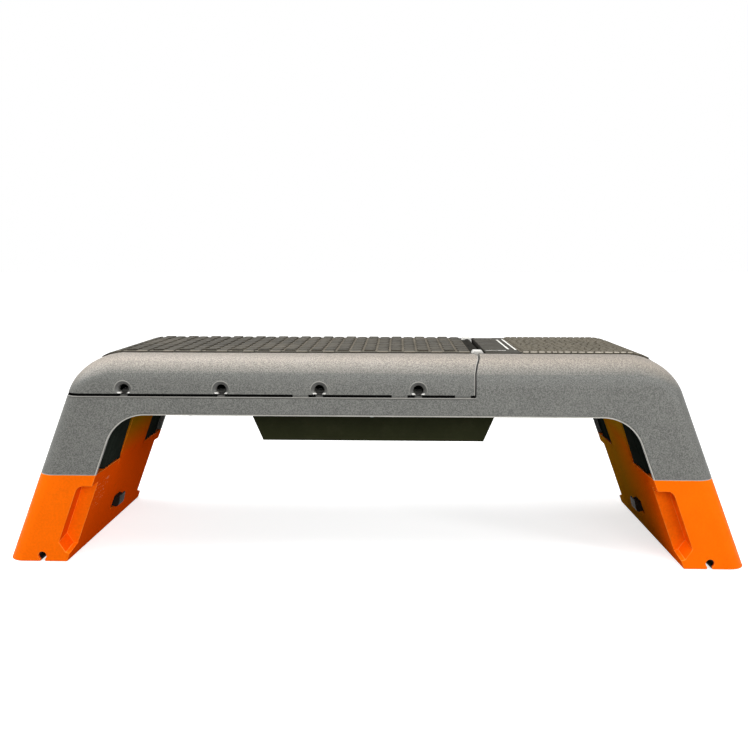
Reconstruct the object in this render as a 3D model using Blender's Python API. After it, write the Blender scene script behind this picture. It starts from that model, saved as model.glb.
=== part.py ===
"""Height-adjustable aerobic step with a lifting backrest.

Frame: X runs along the deck with the backrest end at -X, Y runs across it with
the near side at -Y, and Z is up. The origin is on the floor under the middle.
Everything is in metres.
"""
import math

import bmesh
import bpy
from mathutils import Vector

# Overall size
WIDTH = 0.360
HALF = WIDTH / 2
HEIGHT = 0.3562
TREAD_RISE = 0.0034
SHELL_TOP = HEIGHT - TREAD_RISE
FOOT_REACH = 0.6236
FOOT_INNER = 0.5182
OUTER_RAKE = math.radians(21.7)
INNER_RAKE = math.radians(20.7)

# Rounding of the moulded shell
END_RADIUS = 0.093
EDGE_RADIUS_TOP = 0.050
EDGE_RADIUS_LEG = 0.028
ARC_STEPS = 9
EDGE_STEPS = 6
ARCH_STEPS = 8
SMOOTH_ANGLE = math.radians(32)

# Heights of the main lines
SOCKET_Z = 0.152
SKIRT_Z = 0.2548
PARTING_Z = 0.2867
PARTING_GAP = 0.003
ARCH_RADIUS = 0.070

# Walls, running gaps and reaches of cutters
FRAME_WALL = 0.005
LID_WALL = 0.0045
GAP = 0.0003
STEP = 0.0002
BITE = 0.001
PAST = 0.02
BEYOND = 0.8
ABOVE = 0.40
ROUND_SIDES = 16

# Seam between the backrest and the deck, which leans over the hinge at its top
SEAM_X = 0.169
SEAM_GAP = 0.0015
SEAM_BEND = (0.0, 0.325)
SEAM_KINK = (0.0030, 0.338)
SEAM_CREST_Z = 0.348
SEAM_CREST_RUN = 0.0020
LID_LEAN = 0.0072
DECK_LEAN = 0.0085
BULKHEAD_LOW = 0.263

# Hinge
HINGE_X = 0.177
HINGE_Z = 0.349
HINGE_BARREL = 0.006
HINGE_PIN = 0.0025
HINGE_PIN_HALF = 0.1185
HINGE_CAP = 0.010
CAP_SPAN = (0.096, 0.122)
KNUCKLE_SPAN = (0.0118, 0.0932)
MIDDLE_KNUCKLE = 0.011
KNUCKLE_FOOT = 0.005
LIFT = math.radians(60)

# Trough that the hinge lies in
TROUGH_END = 0.1885
TROUGH_HALF = 0.1240
TROUGH_Z = 0.339
TROUGH_WALL = 0.0045
TROUGH_LIP = 0.0035

# Treads and the bare plate between them
TREAD_HALF = 0.1275
TREAD_DROP = math.radians(34)
TREAD_STEPS = 8
TREAD_CORNER = 0.028
CORNER_STEPS = 6
LID_TREAD_END = 0.1645
SEAT_TREAD_START = 0.2495
PLATE_SPAN = (0.1905, 0.2475)
PLATE_HALF = 0.1255
PLATE_RISE = 0.0010
PLATE_RIM = 0.0009
PLATE_LINE = 0.0035
BORDER_HALF = 0.100
BORDER_SPAN = (0.1917, 0.2270)
BAR_ENDS = (0.2350, 0.2465)
BAR_HALF = (0.080, 0.090)

# Keyhole slots for exercise tubes, with the lugs that the closed backrest rests on
KEY_FIRST = -0.4080
KEY_STEP = 0.1613
KEY_COUNT = 4
KEY_Z = 0.2978
KEY_HOLE = 0.0082
KEY_DISH = 0.0145
KEY_DISH_DEPTH = 0.0045
KEY_BOSS = 0.0165
KEY_BOSS_DEPTH = 0.012
KEY_NECK = 0.008
DISH_SIDES = 20
TONGUE = ((-0.0060, 0.0), (-0.0025, 0.0022), (0.0025, 0.0022), (0.0060, 0.0))
SADDLE_HALF = 0.013
SADDLE_SPAN = (0.131, 0.166)
SADDLE_TOP = (0.2932, 0.2908)
REGISTER_WALL = 0.0028
REGISTER_TOP = 0.2905
REGISTER_LOW = 0.2887
REGISTER_END = 0.1565
LUG_X = (-0.113, 0.045, 0.148)
LUG_LENGTH = 0.025
LUG_TOP = 0.0045

# Legs
PIVOT_Z = 0.230
PIVOT_SET = 0.0223
PIVOT_X = FOOT_INNER - PIVOT_Z * math.tan(INNER_RAKE) + PIVOT_SET / math.cos(INNER_RAKE)
SOLE_Z = 0.001
LEG_TOP = SOCKET_Z - GAP
LEG_WALL = 0.005
STEM_WALL = 0.006
STEM_HALF = 0.067
STEM_OUT = 0.0295
STEM_BITE = 0.012
STEM_STEPS = 7
STEM_OPEN = 0.06
LEG_PIN = 0.005
LEG_PIN_HALF = 0.080

# Finger pockets in the legs' side faces
POCKET_DEPTH = 0.027
POCKET_WALL = 0.0045
POCKET_WIDTH = 0.025
POCKET_STEP = 0.0175
POCKET_TOP = 0.1330
POCKET_LOW = 0.0170
POCKET_TAIL = (0.030, 0.010)
POCKET_CORNER = 0.009
POCKET_RAMP = 0.008

# Sole insert, its channel for a tube and its rubber pads
SOLE_TOP = 0.0075
CHANNEL = (0.560, 0.0108)
CHANNEL_RADIUS = 0.0070
CHANNEL_SLOT = 0.0085
CHANNEL_COVER = (0.0115, 0.0225)
PAD_THICK = 0.0035
PAD_HALF = 0.150
PAD_SPANS = ((0.5285, 0.5410), (0.5780, 0.6060))

# Well liners that carry the legs
CHEEK = (0.0682, 0.0737)
CHEEK_SET = 0.001
WELL_LOW = 0.1525
WELL_TOP = 0.286
WELL_SHY = 0.0005
WELL_PLATE = 0.003
WELL_LEAN = 0.009
WELL_CREST = 0.005
WELL_MOUTH = (-0.03, -0.05)
FLANGE_TOP = 0.262
FRONT_PLATE = 0.0025
BACK_PLATE = 0.012
WELL_RIBS = (0.1235, 0.1365)
RIB_THICK = 0.0022
RIB_SPAN = (0.001, 0.0135)

# Spring catch on each leg, along its inner face and out of it, from the catch's middle
LATCH_Z = 0.055
LATCH_S = LATCH_Z / math.cos(INNER_RAKE)
LATCH_HALF = 0.015
LATCH_HEIGHT = 0.019
LATCH_OUT = 0.0118
LATCH_BACK = 0.0085
LATCH_NOSE = 0.0045
LATCH_TRAVEL = 0.006
LATCH_CLEAR = 0.001
NOSE_ROOT = 0.0066
NOSE_SET = 0.0032
FLANGE_HALF = 0.018
FLANGE_DEPTH = (-0.0105, -0.0056)
FLANGE_WIDE = 0.019
HOUSING_SPAN = (-0.044, 0.022)
HOUSING_DEPTH = (-0.0185, -0.0053)
HOUSING_HALF = 0.0225
HOUSING_WALL = 0.0025
WINDOW_DEPTH = 0.012
SPRING_SPAN = (-0.0406, -0.0189)
SPRING_DEPTH = -0.0100
SPRING_COIL = 0.0030
SPRING_WIRE = 0.0006
SPRING_TURNS = 5
SPRING_POINTS = 10
SPRING_SIDES = 5

# Tray under the deck, its ledges and screws
PAN_Z = 0.255
PAN_THICK = 0.003
PAN_REACH = 0.372
PAN_HALF = 0.1745
TRAY_BOTTOM = 0.2005
TRAY_REACH = 0.189
TRAY_FLARE = 0.43
TRAY_HALF = 0.120
WINDOW_CLEAR = 0.0015
LEDGE = (0.160, 0.1765)
LEDGE_THICK = 0.0042
SCREW_X = (-0.300, 0.0, 0.300)
SCREW_Y = 0.167
SCREW_RADIUS = 0.0016
SCREW_RISE = 0.0075
SCREW_HEAD = (0.0042, 0.0022)
SCREW_HOLE = 0.0026
PILOT = (0.0021, 0.010)
SMALL_SIDES = 8
HEAD_SIDES = 12

# Prop under the backrest and its rack
PROP_LENGTH = 0.215
PROP_ROD = 0.0045
PROP_DROP = 0.018
PROP_HALF = 0.110
PROP_FOOT_HALF = 0.1285
PROP_PIVOT_Y = 0.086
PROP_BEND = 0.010
BEND_STEPS = 6
CLIP_HALF = 0.009
CLIP_EYE = 0.0088
CLIP_SPAN = (0.0835, 0.0985)
CLIP_HOLE = (0.0850, 0.12)
RACK_ANGLE = math.radians(10.5)
RACK_SPAN = (0.1215, 0.1265)
RACK_CLEAR = 0.0006
RACK_STOPS = (15, 30, 45, 60)
RACK_NOTCH = ((-0.0060, 0.0), (-0.0052, 0.0020), (0.0040, 0.0030), (0.0056, 0.0))
RACK_ENDS = (0.006, 0.010)
RACK_BASE = (0.012, 0.0016)
RACK_BASE_SHY = 0.002

COLOURS = {
    "grey_shell": ((0.215, 0.210, 0.195), 0.55, 0.0),
    "rubber_tread": ((0.075, 0.068, 0.060), 0.75, 0.0),
    "orange_leg": ((0.900, 0.190, 0.010), 0.42, 0.0),
    "black_plastic": ((0.020, 0.020, 0.018), 0.50, 0.0),
    "olive_tray": ((0.030, 0.034, 0.014), 0.55, 0.0),
    "well_liner": ((0.050, 0.062, 0.050), 0.55, 0.0),
    "light_grey": ((0.520, 0.510, 0.490), 0.50, 0.0),
    "steel": ((0.560, 0.560, 0.570), 0.30, 1.0),
    "rubber_pad": ((0.030, 0.030, 0.030), 0.85, 0.0),
}


def clear_scene():
    for item in list(bpy.data.objects):
        bpy.data.objects.remove(item, do_unlink=True)


def material(name):
    found = bpy.data.materials.get(name)
    if found:
        return found
    colour, roughness, metallic = COLOURS[name]
    made = bpy.data.materials.new(name)
    made.use_nodes = True
    shader = made.node_tree.nodes["Principled BSDF"]
    shader.inputs["Base Color"].default_value = (*colour, 1.0)
    shader.inputs["Roughness"].default_value = roughness
    shader.inputs["Metallic"].default_value = metallic
    return made


def to_object(name, mesh, slot=None, origin=(0.0, 0.0, 0.0)):
    """Turn a bmesh into an object with its origin at the given point, or into a cutter."""
    bmesh.ops.recalc_face_normals(mesh, faces=mesh.faces)
    bmesh.ops.translate(mesh, verts=mesh.verts, vec=-Vector(origin))
    data = bpy.data.meshes.new(name)
    mesh.to_mesh(data)
    mesh.free()
    made = bpy.data.objects.new(name, data)
    made.location = origin
    bpy.context.scene.collection.objects.link(made)
    if slot:
        data.materials.append(material(slot))
    else:
        made.hide_render = True
        made.display_type = "WIRE"
    return made


def combine(target, operation, tools):
    for tool in tools:
        if isinstance(tool, bmesh.types.BMesh):
            tool = to_object(target.name + "_tool", tool)
        step = target.modifiers.new("step", "BOOLEAN")
        step.operation = operation
        step.solver = "EXACT"
        step.object = tool


def cut(target, *tools):
    combine(target, "DIFFERENCE", tools)


def add(target, *tools):
    combine(target, "UNION", tools)


def keep(target, *tools):
    combine(target, "INTERSECT", tools)


def settle():
    """Turn the modifiers into meshes, shade the round faces smooth and drop the cutters."""
    bpy.context.view_layer.update()
    graph = bpy.context.evaluated_depsgraph_get()
    cutters = [item for item in bpy.data.objects if item.hide_render]
    solids = [item for item in bpy.data.objects if not item.hide_render]
    meshes = [bpy.data.meshes.new_from_object(item.evaluated_get(graph)) for item in solids]
    for item, mesh in zip(solids, meshes):
        item.modifiers.clear()
        item.data = mesh
        mesh.shade_smooth()
        mesh.set_sharp_from_angle(angle=SMOOTH_ANGLE)
    for item in cutters:
        bpy.data.objects.remove(item, do_unlink=True)


def span(side, first, second):
    """Two places on one side of the middle, lower one first."""
    return sorted((side * first, side * second))


def mirrored(outline, side):
    return [(side * x, z) for x, z in outline]


def prism(outline, low, high):
    """Extrude an XZ outline along Y."""
    mesh = bmesh.new()
    near = [mesh.verts.new((x, low, z)) for x, z in outline]
    far = [mesh.verts.new((x, high, z)) for x, z in outline]
    mesh.faces.new(near)
    mesh.faces.new(list(reversed(far)))
    bridge(mesh, [near, far])
    return mesh


def bridge(mesh, rings):
    """Join a row of rings that have as many points each."""
    for a, b in zip(rings, rings[1:]):
        for i in range(len(a)):
            j = (i + 1) % len(a)
            mesh.faces.new((a[j], a[i], b[i], b[j]))


def loft(first, low, second, high):
    """Join one XZ outline at a low Y to another of as many points at a high Y."""
    mesh = prism(first, low, high)
    mesh.verts.ensure_lookup_table()
    for vert, (x, z) in zip(mesh.verts[len(first):], second):
        vert.co.x = x
        vert.co.z = z
    return mesh


def upright(outline, low, high):
    """Extrude an XY outline along Z."""
    mesh = prism(outline, low, high)
    for vert in mesh.verts:
        vert.co = vert.co.xzy
    return mesh


def block(x, y, z):
    return prism(((x[0], z[0]), (x[1], z[0]), (x[1], z[1]), (x[0], z[1])), y[0], y[1])


def circle(centre, radius, sides=ROUND_SIDES, start=0.0, sweep=math.tau):
    count = sides if sweep == math.tau else sides + 1
    points = []
    for i in range(count):
        angle = start + sweep * i / sides
        points.append((centre[0] + radius * math.cos(angle), centre[1] + radius * math.sin(angle)))
    return points


def bar(centre, radius, low, high, sides=ROUND_SIDES):
    """A round bar along Y."""
    return prism(circle(centre, radius, sides), low, high)


def hole(centre, radius, low, high, sides=ROUND_SIDES):
    """A cutter along Y whose flats stay a running gap outside a round bar."""
    return bar(centre, (radius + GAP) / math.cos(math.pi / sides), low, high, sides)


def swept(points, radius, sides):
    """Tube of round section along a list of points."""
    mesh = bmesh.new()
    rings = []
    side = None
    for i, point in enumerate(points):
        way = (points[min(i + 1, len(points) - 1)] - points[max(i - 1, 0)]).normalized()
        if side is None:
            side = way.orthogonal().normalized()
        side = (side - way * side.dot(way)).normalized()
        other = way.cross(side)
        turns = [math.tau * j / sides for j in range(sides)]
        spokes = [side * math.cos(turn) + other * math.sin(turn) for turn in turns]
        rings.append([mesh.verts.new(point + spoke * radius) for spoke in spokes])
    bridge(mesh, rings)
    mesh.faces.new(rings[0])
    mesh.faces.new(list(reversed(rings[-1])))
    return mesh


def outer_line(z, inset=0.0):
    """X of the raked outer face at a height."""
    return FOOT_REACH - inset / math.cos(OUTER_RAKE) - z * math.tan(OUTER_RAKE)


def inner_line(z, depth=0.0):
    """X of the raked inner face at a height, or of a face that lies some depth behind it."""
    return FOOT_INNER + depth / math.cos(INNER_RAKE) - z * math.tan(INNER_RAKE)


def edge_radius(angle, inset):
    """Edge rounding: tight down the legs, generous along the top."""
    share = (angle - OUTER_RAKE) / (math.pi / 2 - OUTER_RAKE)
    share = share * share * (3 - 2 * share)
    return EDGE_RADIUS_LEG + (EDGE_RADIUS_TOP - EDGE_RADIUS_LEG) * share - inset


def end_centre():
    z = SHELL_TOP - END_RADIUS
    return outer_line(z, END_RADIUS), z


def across(angle, inset, low=None):
    """One ring of points over the shell from the far side to the near side."""
    centre_x, centre_z = end_centre()
    radius = edge_radius(angle, inset)
    points = []
    for i in range(EDGE_STEPS + 1):
        turn = math.pi / 2 * i / EDGE_STEPS
        depth = inset + radius * (1 - math.sin(turn))
        y = HALF - inset - radius * (1 - math.cos(turn))
        if low is None:
            reach = END_RADIUS - depth
            points.append((centre_x + reach * math.cos(angle), y, centre_z + reach * math.sin(angle)))
        else:
            points.append((outer_line(low, depth), y, low))
    return points + [(x, -y, z) for x, y, z in reversed(points)]


def shell_solid(inset, low):
    """The closed outer form of the deck and its leg sockets, down to a height."""
    rings = [across(OUTER_RAKE, inset, low)]
    for i in range(ARC_STEPS + 1):
        rings.append(across(OUTER_RAKE + (math.pi / 2 - OUTER_RAKE) * i / ARC_STEPS, inset))
    rings += [[(-x, y, z) for x, y, z in ring] for ring in reversed(rings)]
    mesh = bmesh.new()
    grid = [[mesh.verts.new(point) for point in ring] for ring in rings]
    last = len(grid[0]) - 1
    for a, b in zip(grid, grid[1:]):
        for i in range(last):
            mesh.faces.new((a[i], a[i + 1], b[i + 1], b[i]))
    mesh.faces.new([ring[0] for ring in grid])
    mesh.faces.new([ring[last] for ring in reversed(grid)])
    mesh.faces.new(grid[0] + list(reversed(grid[-1])))
    return mesh


def seam_line(offset, lean):
    """The seam's profile from its bend up to a height over the deck."""
    start = SEAM_X - offset
    return [
        (start + SEAM_BEND[0], SEAM_BEND[1]), (start + SEAM_KINK[0], SEAM_KINK[1]),
        (start + lean, SEAM_CREST_Z), (start + lean + SEAM_CREST_RUN, ABOVE),
    ]


def arch_outline():
    """Open space under the skirt between the two sockets."""
    turn = math.pi / 2 - INNER_RAKE
    run = ARCH_RADIUS * math.tan(turn / 2)
    centre = (inner_line(SKIRT_Z) - run, SKIRT_Z - ARCH_RADIUS)
    low = SOCKET_Z - PAST
    right = [(inner_line(low), low)] + circle(centre, ARCH_RADIUS, ARCH_STEPS, INNER_RAKE, turn)
    return right + [(-x, z) for x, z in reversed(right)]


def key_positions():
    return [KEY_FIRST + i * KEY_STEP for i in range(KEY_COUNT)]


def deck_cross_walls():
    """Bulkhead beside the seam and the block that the hinge trough is cut into."""
    bulkhead = to_object("bulkhead", shell_solid(FRAME_WALL / 2, SOCKET_Z))
    keep(bulkhead, block((SEAM_X, SEAM_X + FRAME_WALL), (-WIDTH, WIDTH), (BULKHEAD_LOW, TROUGH_Z - BITE)))
    half = TROUGH_HALF + TROUGH_WALL
    trough = block((SEAM_X + GAP, TROUGH_END + TROUGH_WALL), (-half, half),
                   (TROUGH_Z - FRAME_WALL, SHELL_TOP - TROUGH_LIP))
    return bulkhead, trough


def tube_rests():
    """A low tongue under each keyhole and a saddle behind it that rises inwards."""
    rests = []
    for x in key_positions():
        tongue = [(x + run, PARTING_Z + rise) for run, rise in TONGUE]
        tongue = [(tongue[0][0], PARTING_Z - BITE)] + tongue + [(tongue[-1][0], PARTING_Z - BITE)]
        wide = (x - SADDLE_HALF, x + SADDLE_HALF)
        narrow = (wide[0] + STEP, wide[1] - STEP)
        low = PARTING_Z - LID_WALL
        for side in (-1, 1):
            rests.append(prism(tongue, *span(side, HALF - FRAME_WALL + BITE, HALF - GAP)))
            rests.append(block(narrow, span(side, SADDLE_SPAN[0] + STEP, HALF - FRAME_WALL + BITE / 2),
                               (low - BITE, PARTING_Z - GAP)))
            ends = sorted((side * y, top) for y, top in zip(SADDLE_SPAN, SADDLE_TOP))
            outlines = [((wide[0], low), (wide[1], low), (wide[1], top), (wide[0], top)) for y, top in ends]
            rests.append(loft(outlines[0], ends[0][0], outlines[1], ends[1][0]))
    return rests


def register_lip():
    """Rim of the deck that stands inside the closed backrest's edge, lower where it passes a keyhole."""
    inset = LID_WALL + GAP
    lip = to_object("register_lip", shell_solid(inset, SOCKET_Z))
    cut(lip, shell_solid(inset + REGISTER_WALL, SOCKET_Z - PAST))
    keep(lip, block((-BEYOND, REGISTER_END), (-WIDTH, WIDTH), (PARTING_Z - LID_WALL, REGISTER_TOP)))
    room = KEY_BOSS + BITE
    cut(lip, *[block((x - room, x + room), (-WIDTH, WIDTH), (REGISTER_LOW, ABOVE)) for x in key_positions()])
    return lip


def ledges():
    """Strips on the side walls that the tray is screwed to."""
    low = PAN_Z + PAN_THICK + GAP
    return [block((-PAN_REACH, PAN_REACH), span(side, *LEDGE), (low, low + LEDGE_THICK)) for side in (-1, 1)]


def main_frame():
    frame = to_object("main_frame", shell_solid(0.0, SOCKET_Z), "grey_shell")
    cut(frame, shell_solid(FRAME_WALL, SOCKET_Z - PAST), prism(arch_outline(), -WIDTH, WIDTH))
    add(frame, *deck_cross_walls())
    lid_space = [(-BEYOND, PARTING_Z), (SEAM_X, PARTING_Z)] + seam_line(0.0, DECK_LEAN) + [(-BEYOND, ABOVE)]
    cut(frame, prism(lid_space, -WIDTH, WIDTH),
        block((SEAM_X - PAST, TROUGH_END), (-TROUGH_HALF, TROUGH_HALF), (TROUGH_Z, ABOVE)))
    foot = block((HINGE_X - KNUCKLE_FOOT, HINGE_X + KNUCKLE_FOOT),
                 (STEP - MIDDLE_KNUCKLE, MIDDLE_KNUCKLE - STEP), (TROUGH_Z - BITE, HINGE_Z))
    add(frame, bar((HINGE_X, HINGE_Z), HINGE_BARREL, -MIDDLE_KNUCKLE, MIDDLE_KNUCKLE), foot)
    add(frame, register_lip(), *ledges(), *tube_rests())
    for side in (-1, 1):
        for x in SCREW_X:
            cut(frame, upright(circle((x, side * SCREW_Y), PILOT[0], SMALL_SIDES), PAN_Z, PAN_Z + PILOT[1]))
    cut(frame, hole((HINGE_X, HINGE_Z), HINGE_PIN, -PAST, PAST))
    return frame


def end_relief():
    """The corner beside the hinge that would meet the deck when the backrest is fully up."""
    start = GAP / math.cos(LIFT)
    rise = ABOVE - HINGE_Z
    reach = rise * math.tan(LIFT)
    return (
        (HINGE_X - start, HINGE_Z), (HINGE_X + reach, HINGE_Z), (HINGE_X + reach, ABOVE),
        (HINGE_X - start - reach, ABOVE),
    )


def keyhole_dish(x, side):
    """A shallow cone that leads into a keyhole."""
    mesh = bmesh.new()
    slope = (KEY_DISH - KEY_HOLE) / KEY_DISH_DEPTH
    rings = []
    for depth in (-BITE, KEY_DISH_DEPTH):
        ring = circle((x, KEY_Z), KEY_DISH - slope * depth, DISH_SIDES)
        rings.append([mesh.verts.new((a, side * (HALF - depth), b)) for a, b in ring])
    bridge(mesh, rings)
    mesh.faces.new(rings[0])
    mesh.faces.new(list(reversed(rings[1])))
    return mesh


def lid_bosses():
    """Thicker rings behind the keyholes."""
    return [bar((x, KEY_Z), KEY_BOSS, *span(side, HALF - LID_WALL + BITE, HALF - KEY_BOSS_DEPTH))
            for x in key_positions() for side in (-1, 1)]


def rest_lugs():
    return [block((x - LUG_LENGTH / 2, x + LUG_LENGTH / 2), span(side, HALF - BITE, HALF - LID_WALL + GAP),
                  (PARTING_Z + GAP, PARTING_Z + LUG_TOP)) for side in (-1, 1) for x in LUG_X]


def keyholes():
    cutters = []
    for x in key_positions():
        cutters.append(bar((x, KEY_Z), KEY_HOLE, -WIDTH, WIDTH))
        cutters.append(block((x - KEY_NECK / 2, x + KEY_NECK / 2), (-WIDTH, WIDTH), (PARTING_Z, KEY_Z)))
        cutters += [keyhole_dish(x, side) for side in (-1, 1)]
    return cutters


def lid_hinge(lid, side):
    """Knuckle on one side of the middle, with room for the cap and the deck's corner."""
    y = span(side, *KNUCKLE_SPAN)
    web = block((SEAM_X - SEAM_GAP - 2 * LID_WALL, HINGE_X), (y[0] + STEP, y[1] - STEP),
                (HINGE_Z - HINGE_BARREL + STEP, SHELL_TOP - STEP))
    add(lid, bar((HINGE_X, HINGE_Z), HINGE_BARREL, *y), web)
    room = BITE + STEP
    notch = span(side, CAP_SPAN[0] - room, CAP_SPAN[1] + room)
    cut(lid, block((HINGE_X - HINGE_CAP - room, HINGE_X + PAST), notch, (TROUGH_Z - BITE, ABOVE)),
        prism(end_relief(), *span(side, CAP_SPAN[1] + room, WIDTH)))


def backrest_shell():
    lid = to_object("backrest_shell", shell_solid(0.0, SKIRT_Z), "grey_shell", (HINGE_X, 0.0, HINGE_Z))
    inside = to_object("lid_inside", shell_solid(LID_WALL, SKIRT_Z - PAST))
    cut(inside, block((SEAM_X - SEAM_GAP - LID_WALL, BEYOND), (-WIDTH, WIDTH), (SKIRT_Z - 2 * PAST, ABOVE)))
    low = SKIRT_Z - PAST
    start = SEAM_X - SEAM_GAP
    beyond_seam = [(start, low)] + seam_line(SEAM_GAP, LID_LEAN) + [(BEYOND, ABOVE), (BEYOND, low)]
    cut(lid, inside, prism(beyond_seam, -WIDTH, WIDTH))
    add(lid, *lid_bosses())
    cut(lid, block((-BEYOND, BEYOND), (-WIDTH, WIDTH), (low, PARTING_Z + PARTING_GAP)))
    add(lid, *rest_lugs())
    cut(lid, *keyholes())
    for side in (-1, 1):
        lid_hinge(lid, side)
    room = MIDDLE_KNUCKLE + STEP + GAP
    cut(lid, block((HINGE_X - HINGE_BARREL - BITE, HINGE_X + PAST), (-room, room), (TROUGH_Z - BITE, ABOVE)),
        hole((HINGE_X, HINGE_Z), HINGE_PIN, -KNUCKLE_SPAN[1] - PAST, KNUCKLE_SPAN[1] + PAST))
    return lid


def tread_ribbon(start):
    """Rubber sheet that lies on the top and turns down over one rounded end."""
    centre = end_centre()
    drop = [math.pi / 2 - TREAD_DROP * i / TREAD_STEPS for i in range(TREAD_STEPS + 1)]
    layers = []
    for rise in (GAP, TREAD_RISE):
        reach = END_RADIUS + rise
        over_end = [(centre[0] + reach * math.cos(a), centre[1] + reach * math.sin(a)) for a in drop]
        layers.append([(start, SHELL_TOP + rise)] + over_end)
    return layers[0] + list(reversed(layers[1]))


def tread_plan(start, end):
    """Plan outline with two rounded corners at the deck's end."""
    points = [(start, -TREAD_HALF)]
    for sign, first in ((-1, -math.pi / 2), (1, 0.0)):
        centre = (end - TREAD_CORNER, sign * (TREAD_HALF - TREAD_CORNER))
        points += circle(centre, TREAD_CORNER, CORNER_STEPS, first, math.pi / 2)
    return points + [(start, TREAD_HALF)]


def tread(name, start, side, origin=(0.0, 0.0, 0.0)):
    """A tread from a start, measured towards its own end of the deck."""
    ribbon = tread_ribbon(start)
    made = to_object(name, prism(mirrored(ribbon, side), -WIDTH, WIDTH), "rubber_tread", origin)
    plan = tread_plan(start - PAST, max(x for x, z in ribbon) + GAP)
    keep(made, upright(mirrored(plan, side), SKIRT_Z, ABOVE))
    return made


def blank_plate():
    """Bare framed plate with a raised border and one cross bar."""
    low = SHELL_TOP + GAP
    top = low + PLATE_RISE
    plate = to_object("blank_plate", block(PLATE_SPAN, (-PLATE_HALF, PLATE_HALF), (low, top)), "rubber_tread")
    lines = [((end - PLATE_LINE, end), (-half, half)) for end, half in zip(BAR_ENDS, BAR_HALF)]
    lines += [(BORDER_SPAN, span(side, BORDER_HALF - PLATE_LINE, BORDER_HALF)) for side in (-1, 1)]
    add(plate, *[block(x, y, (top - PLATE_RISE / 2, top + PLATE_RIM)) for x, y in lines])
    return plate


def hinge_parts():
    centre = (HINGE_X, HINGE_Z)
    to_object("hinge_pin", bar(centre, HINGE_PIN, -HINGE_PIN_HALF, HINGE_PIN_HALF), "steel")
    around = (HINGE_X - PAST, HINGE_X + PAST)
    for name, side in (("near", -1), ("far", 1)):
        disc = bar(centre, HINGE_CAP, *span(side, *CAP_SPAN), DISH_SIDES)
        cap = to_object("hinge_cap_" + name, disc, "light_grey")
        cut(cap, block(around, (-WIDTH, WIDTH), (HEIGHT, ABOVE)),
            block(around, (-WIDTH, WIDTH), (SKIRT_Z, TROUGH_Z + GAP)),
            hole(centre, HINGE_PIN, *span(side, 0.0, HINGE_PIN_HALF + GAP)))


def leg_frame(side, s, n):
    """XZ point from a leg's own measures: s up the rake, n out of its inner face."""
    x = FOOT_INNER - math.sin(INNER_RAKE) * s - math.cos(INNER_RAKE) * n
    z = math.cos(INNER_RAKE) * s - math.sin(INNER_RAKE) * n
    return side * x, z


def stem_outline(side, inset, open_top):
    """Stem between the leg and its pivot, rounded about the pivot."""
    pivot_s = (PIVOT_Z - PIVOT_SET * math.sin(INNER_RAKE)) / math.cos(INNER_RAKE)
    low = (SOCKET_Z - STEM_BITE) / math.cos(INNER_RAKE)
    outer = STEM_OUT - inset
    inner = PIVOT_SET - inset
    points = [(low, -PIVOT_SET - outer)]
    if open_top:
        points += [(pivot_s + STEM_OPEN, -PIVOT_SET - outer), (pivot_s + STEM_OPEN, inner - PIVOT_SET)]
    else:
        end = math.acos(-inner / outer)
        for i in range(STEM_STEPS + 1):
            angle = end * i / STEM_STEPS
            points.append((pivot_s + outer * math.sin(angle), -PIVOT_SET - outer * math.cos(angle)))
    points.append((low, inner - PIVOT_SET))
    return [leg_frame(side, s, n) for s, n in points]


def pocket_outline(grow, lift=0.0):
    """Finger pocket along the inner edge of a leg's side face."""
    back = POCKET_WIDTH + grow
    top = POCKET_TOP + grow
    low = POCKET_LOW - grow + lift
    inner_reach, inner_drop = POCKET_TAIL
    cut_in = POCKET_CORNER * (1 - math.sqrt(0.5))
    return [
        (inner_line(top) - inner_reach, top),
        (inner_line(top) + back - POCKET_CORNER, top),
        (inner_line(top) + back - cut_in, top - cut_in),
        (inner_line(top - POCKET_CORNER) + back, top - POCKET_CORNER),
        (inner_line(low + POCKET_STEP) + back, low + POCKET_STEP),
        (inner_line(low) + back - POCKET_STEP, low),
        (inner_line(low) - inner_reach, low - inner_drop),
    ]


def leg_hollow(name, side):
    """Room inside a leg, open at the bottom, with walls left round the pockets."""
    hollow = to_object(name + "_hollow", shell_solid(LEG_WALL, -PAST))
    top = LEG_TOP - LEG_WALL
    room = [(inner_line(-PAST, LEG_WALL), -PAST), (BEYOND, -PAST), (BEYOND, top),
            (inner_line(top, LEG_WALL), top)]
    keep(hollow, prism(mirrored(room, side), -WIDTH, WIDTH))
    outline = mirrored(pocket_outline(POCKET_WALL), side)
    cut(hollow, *[prism(outline, *span(way, HALF - POCKET_DEPTH - POCKET_WALL, WIDTH)) for way in (-1, 1)])
    return hollow


def pocket(side, way):
    """Cutter of a finger pocket, whose lower end slopes outwards."""
    floor = mirrored(pocket_outline(0.0, POCKET_RAMP), side)
    mouth = mirrored(pocket_outline(0.0, -POCKET_RAMP * PAST / POCKET_DEPTH), side)
    ends = ((floor, way * (HALF - POCKET_DEPTH)), (mouth, way * (HALF + PAST)))
    (first, low), (second, high) = sorted(ends, key=lambda end: end[1])
    return loft(first, low, second, high)


def tube_channel(side):
    """Cutters of the round channel across the foot and the slot below it."""
    slot = span(side, CHANNEL[0] - CHANNEL_SLOT / 2, CHANNEL[0] + CHANNEL_SLOT / 2)
    return (bar((side * CHANNEL[0], CHANNEL[1]), CHANNEL_RADIUS, -WIDTH, WIDTH),
            block(slot, (-WIDTH, WIDTH), (-PAST, CHANNEL[1])))


def catch_window(side):
    """Cutter of the window that the catch travels in."""
    reach = LATCH_HEIGHT / 2 + LATCH_CLEAR
    corners = ((-reach - LATCH_TRAVEL, -1), (reach, -1), (reach, 1), (-reach - LATCH_TRAVEL, 1))
    outline = [leg_frame(side, LATCH_S + s, way * WINDOW_DEPTH) for s, way in corners]
    return prism(outline, -LATCH_HALF - LATCH_CLEAR, LATCH_HALF + LATCH_CLEAR)


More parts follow.
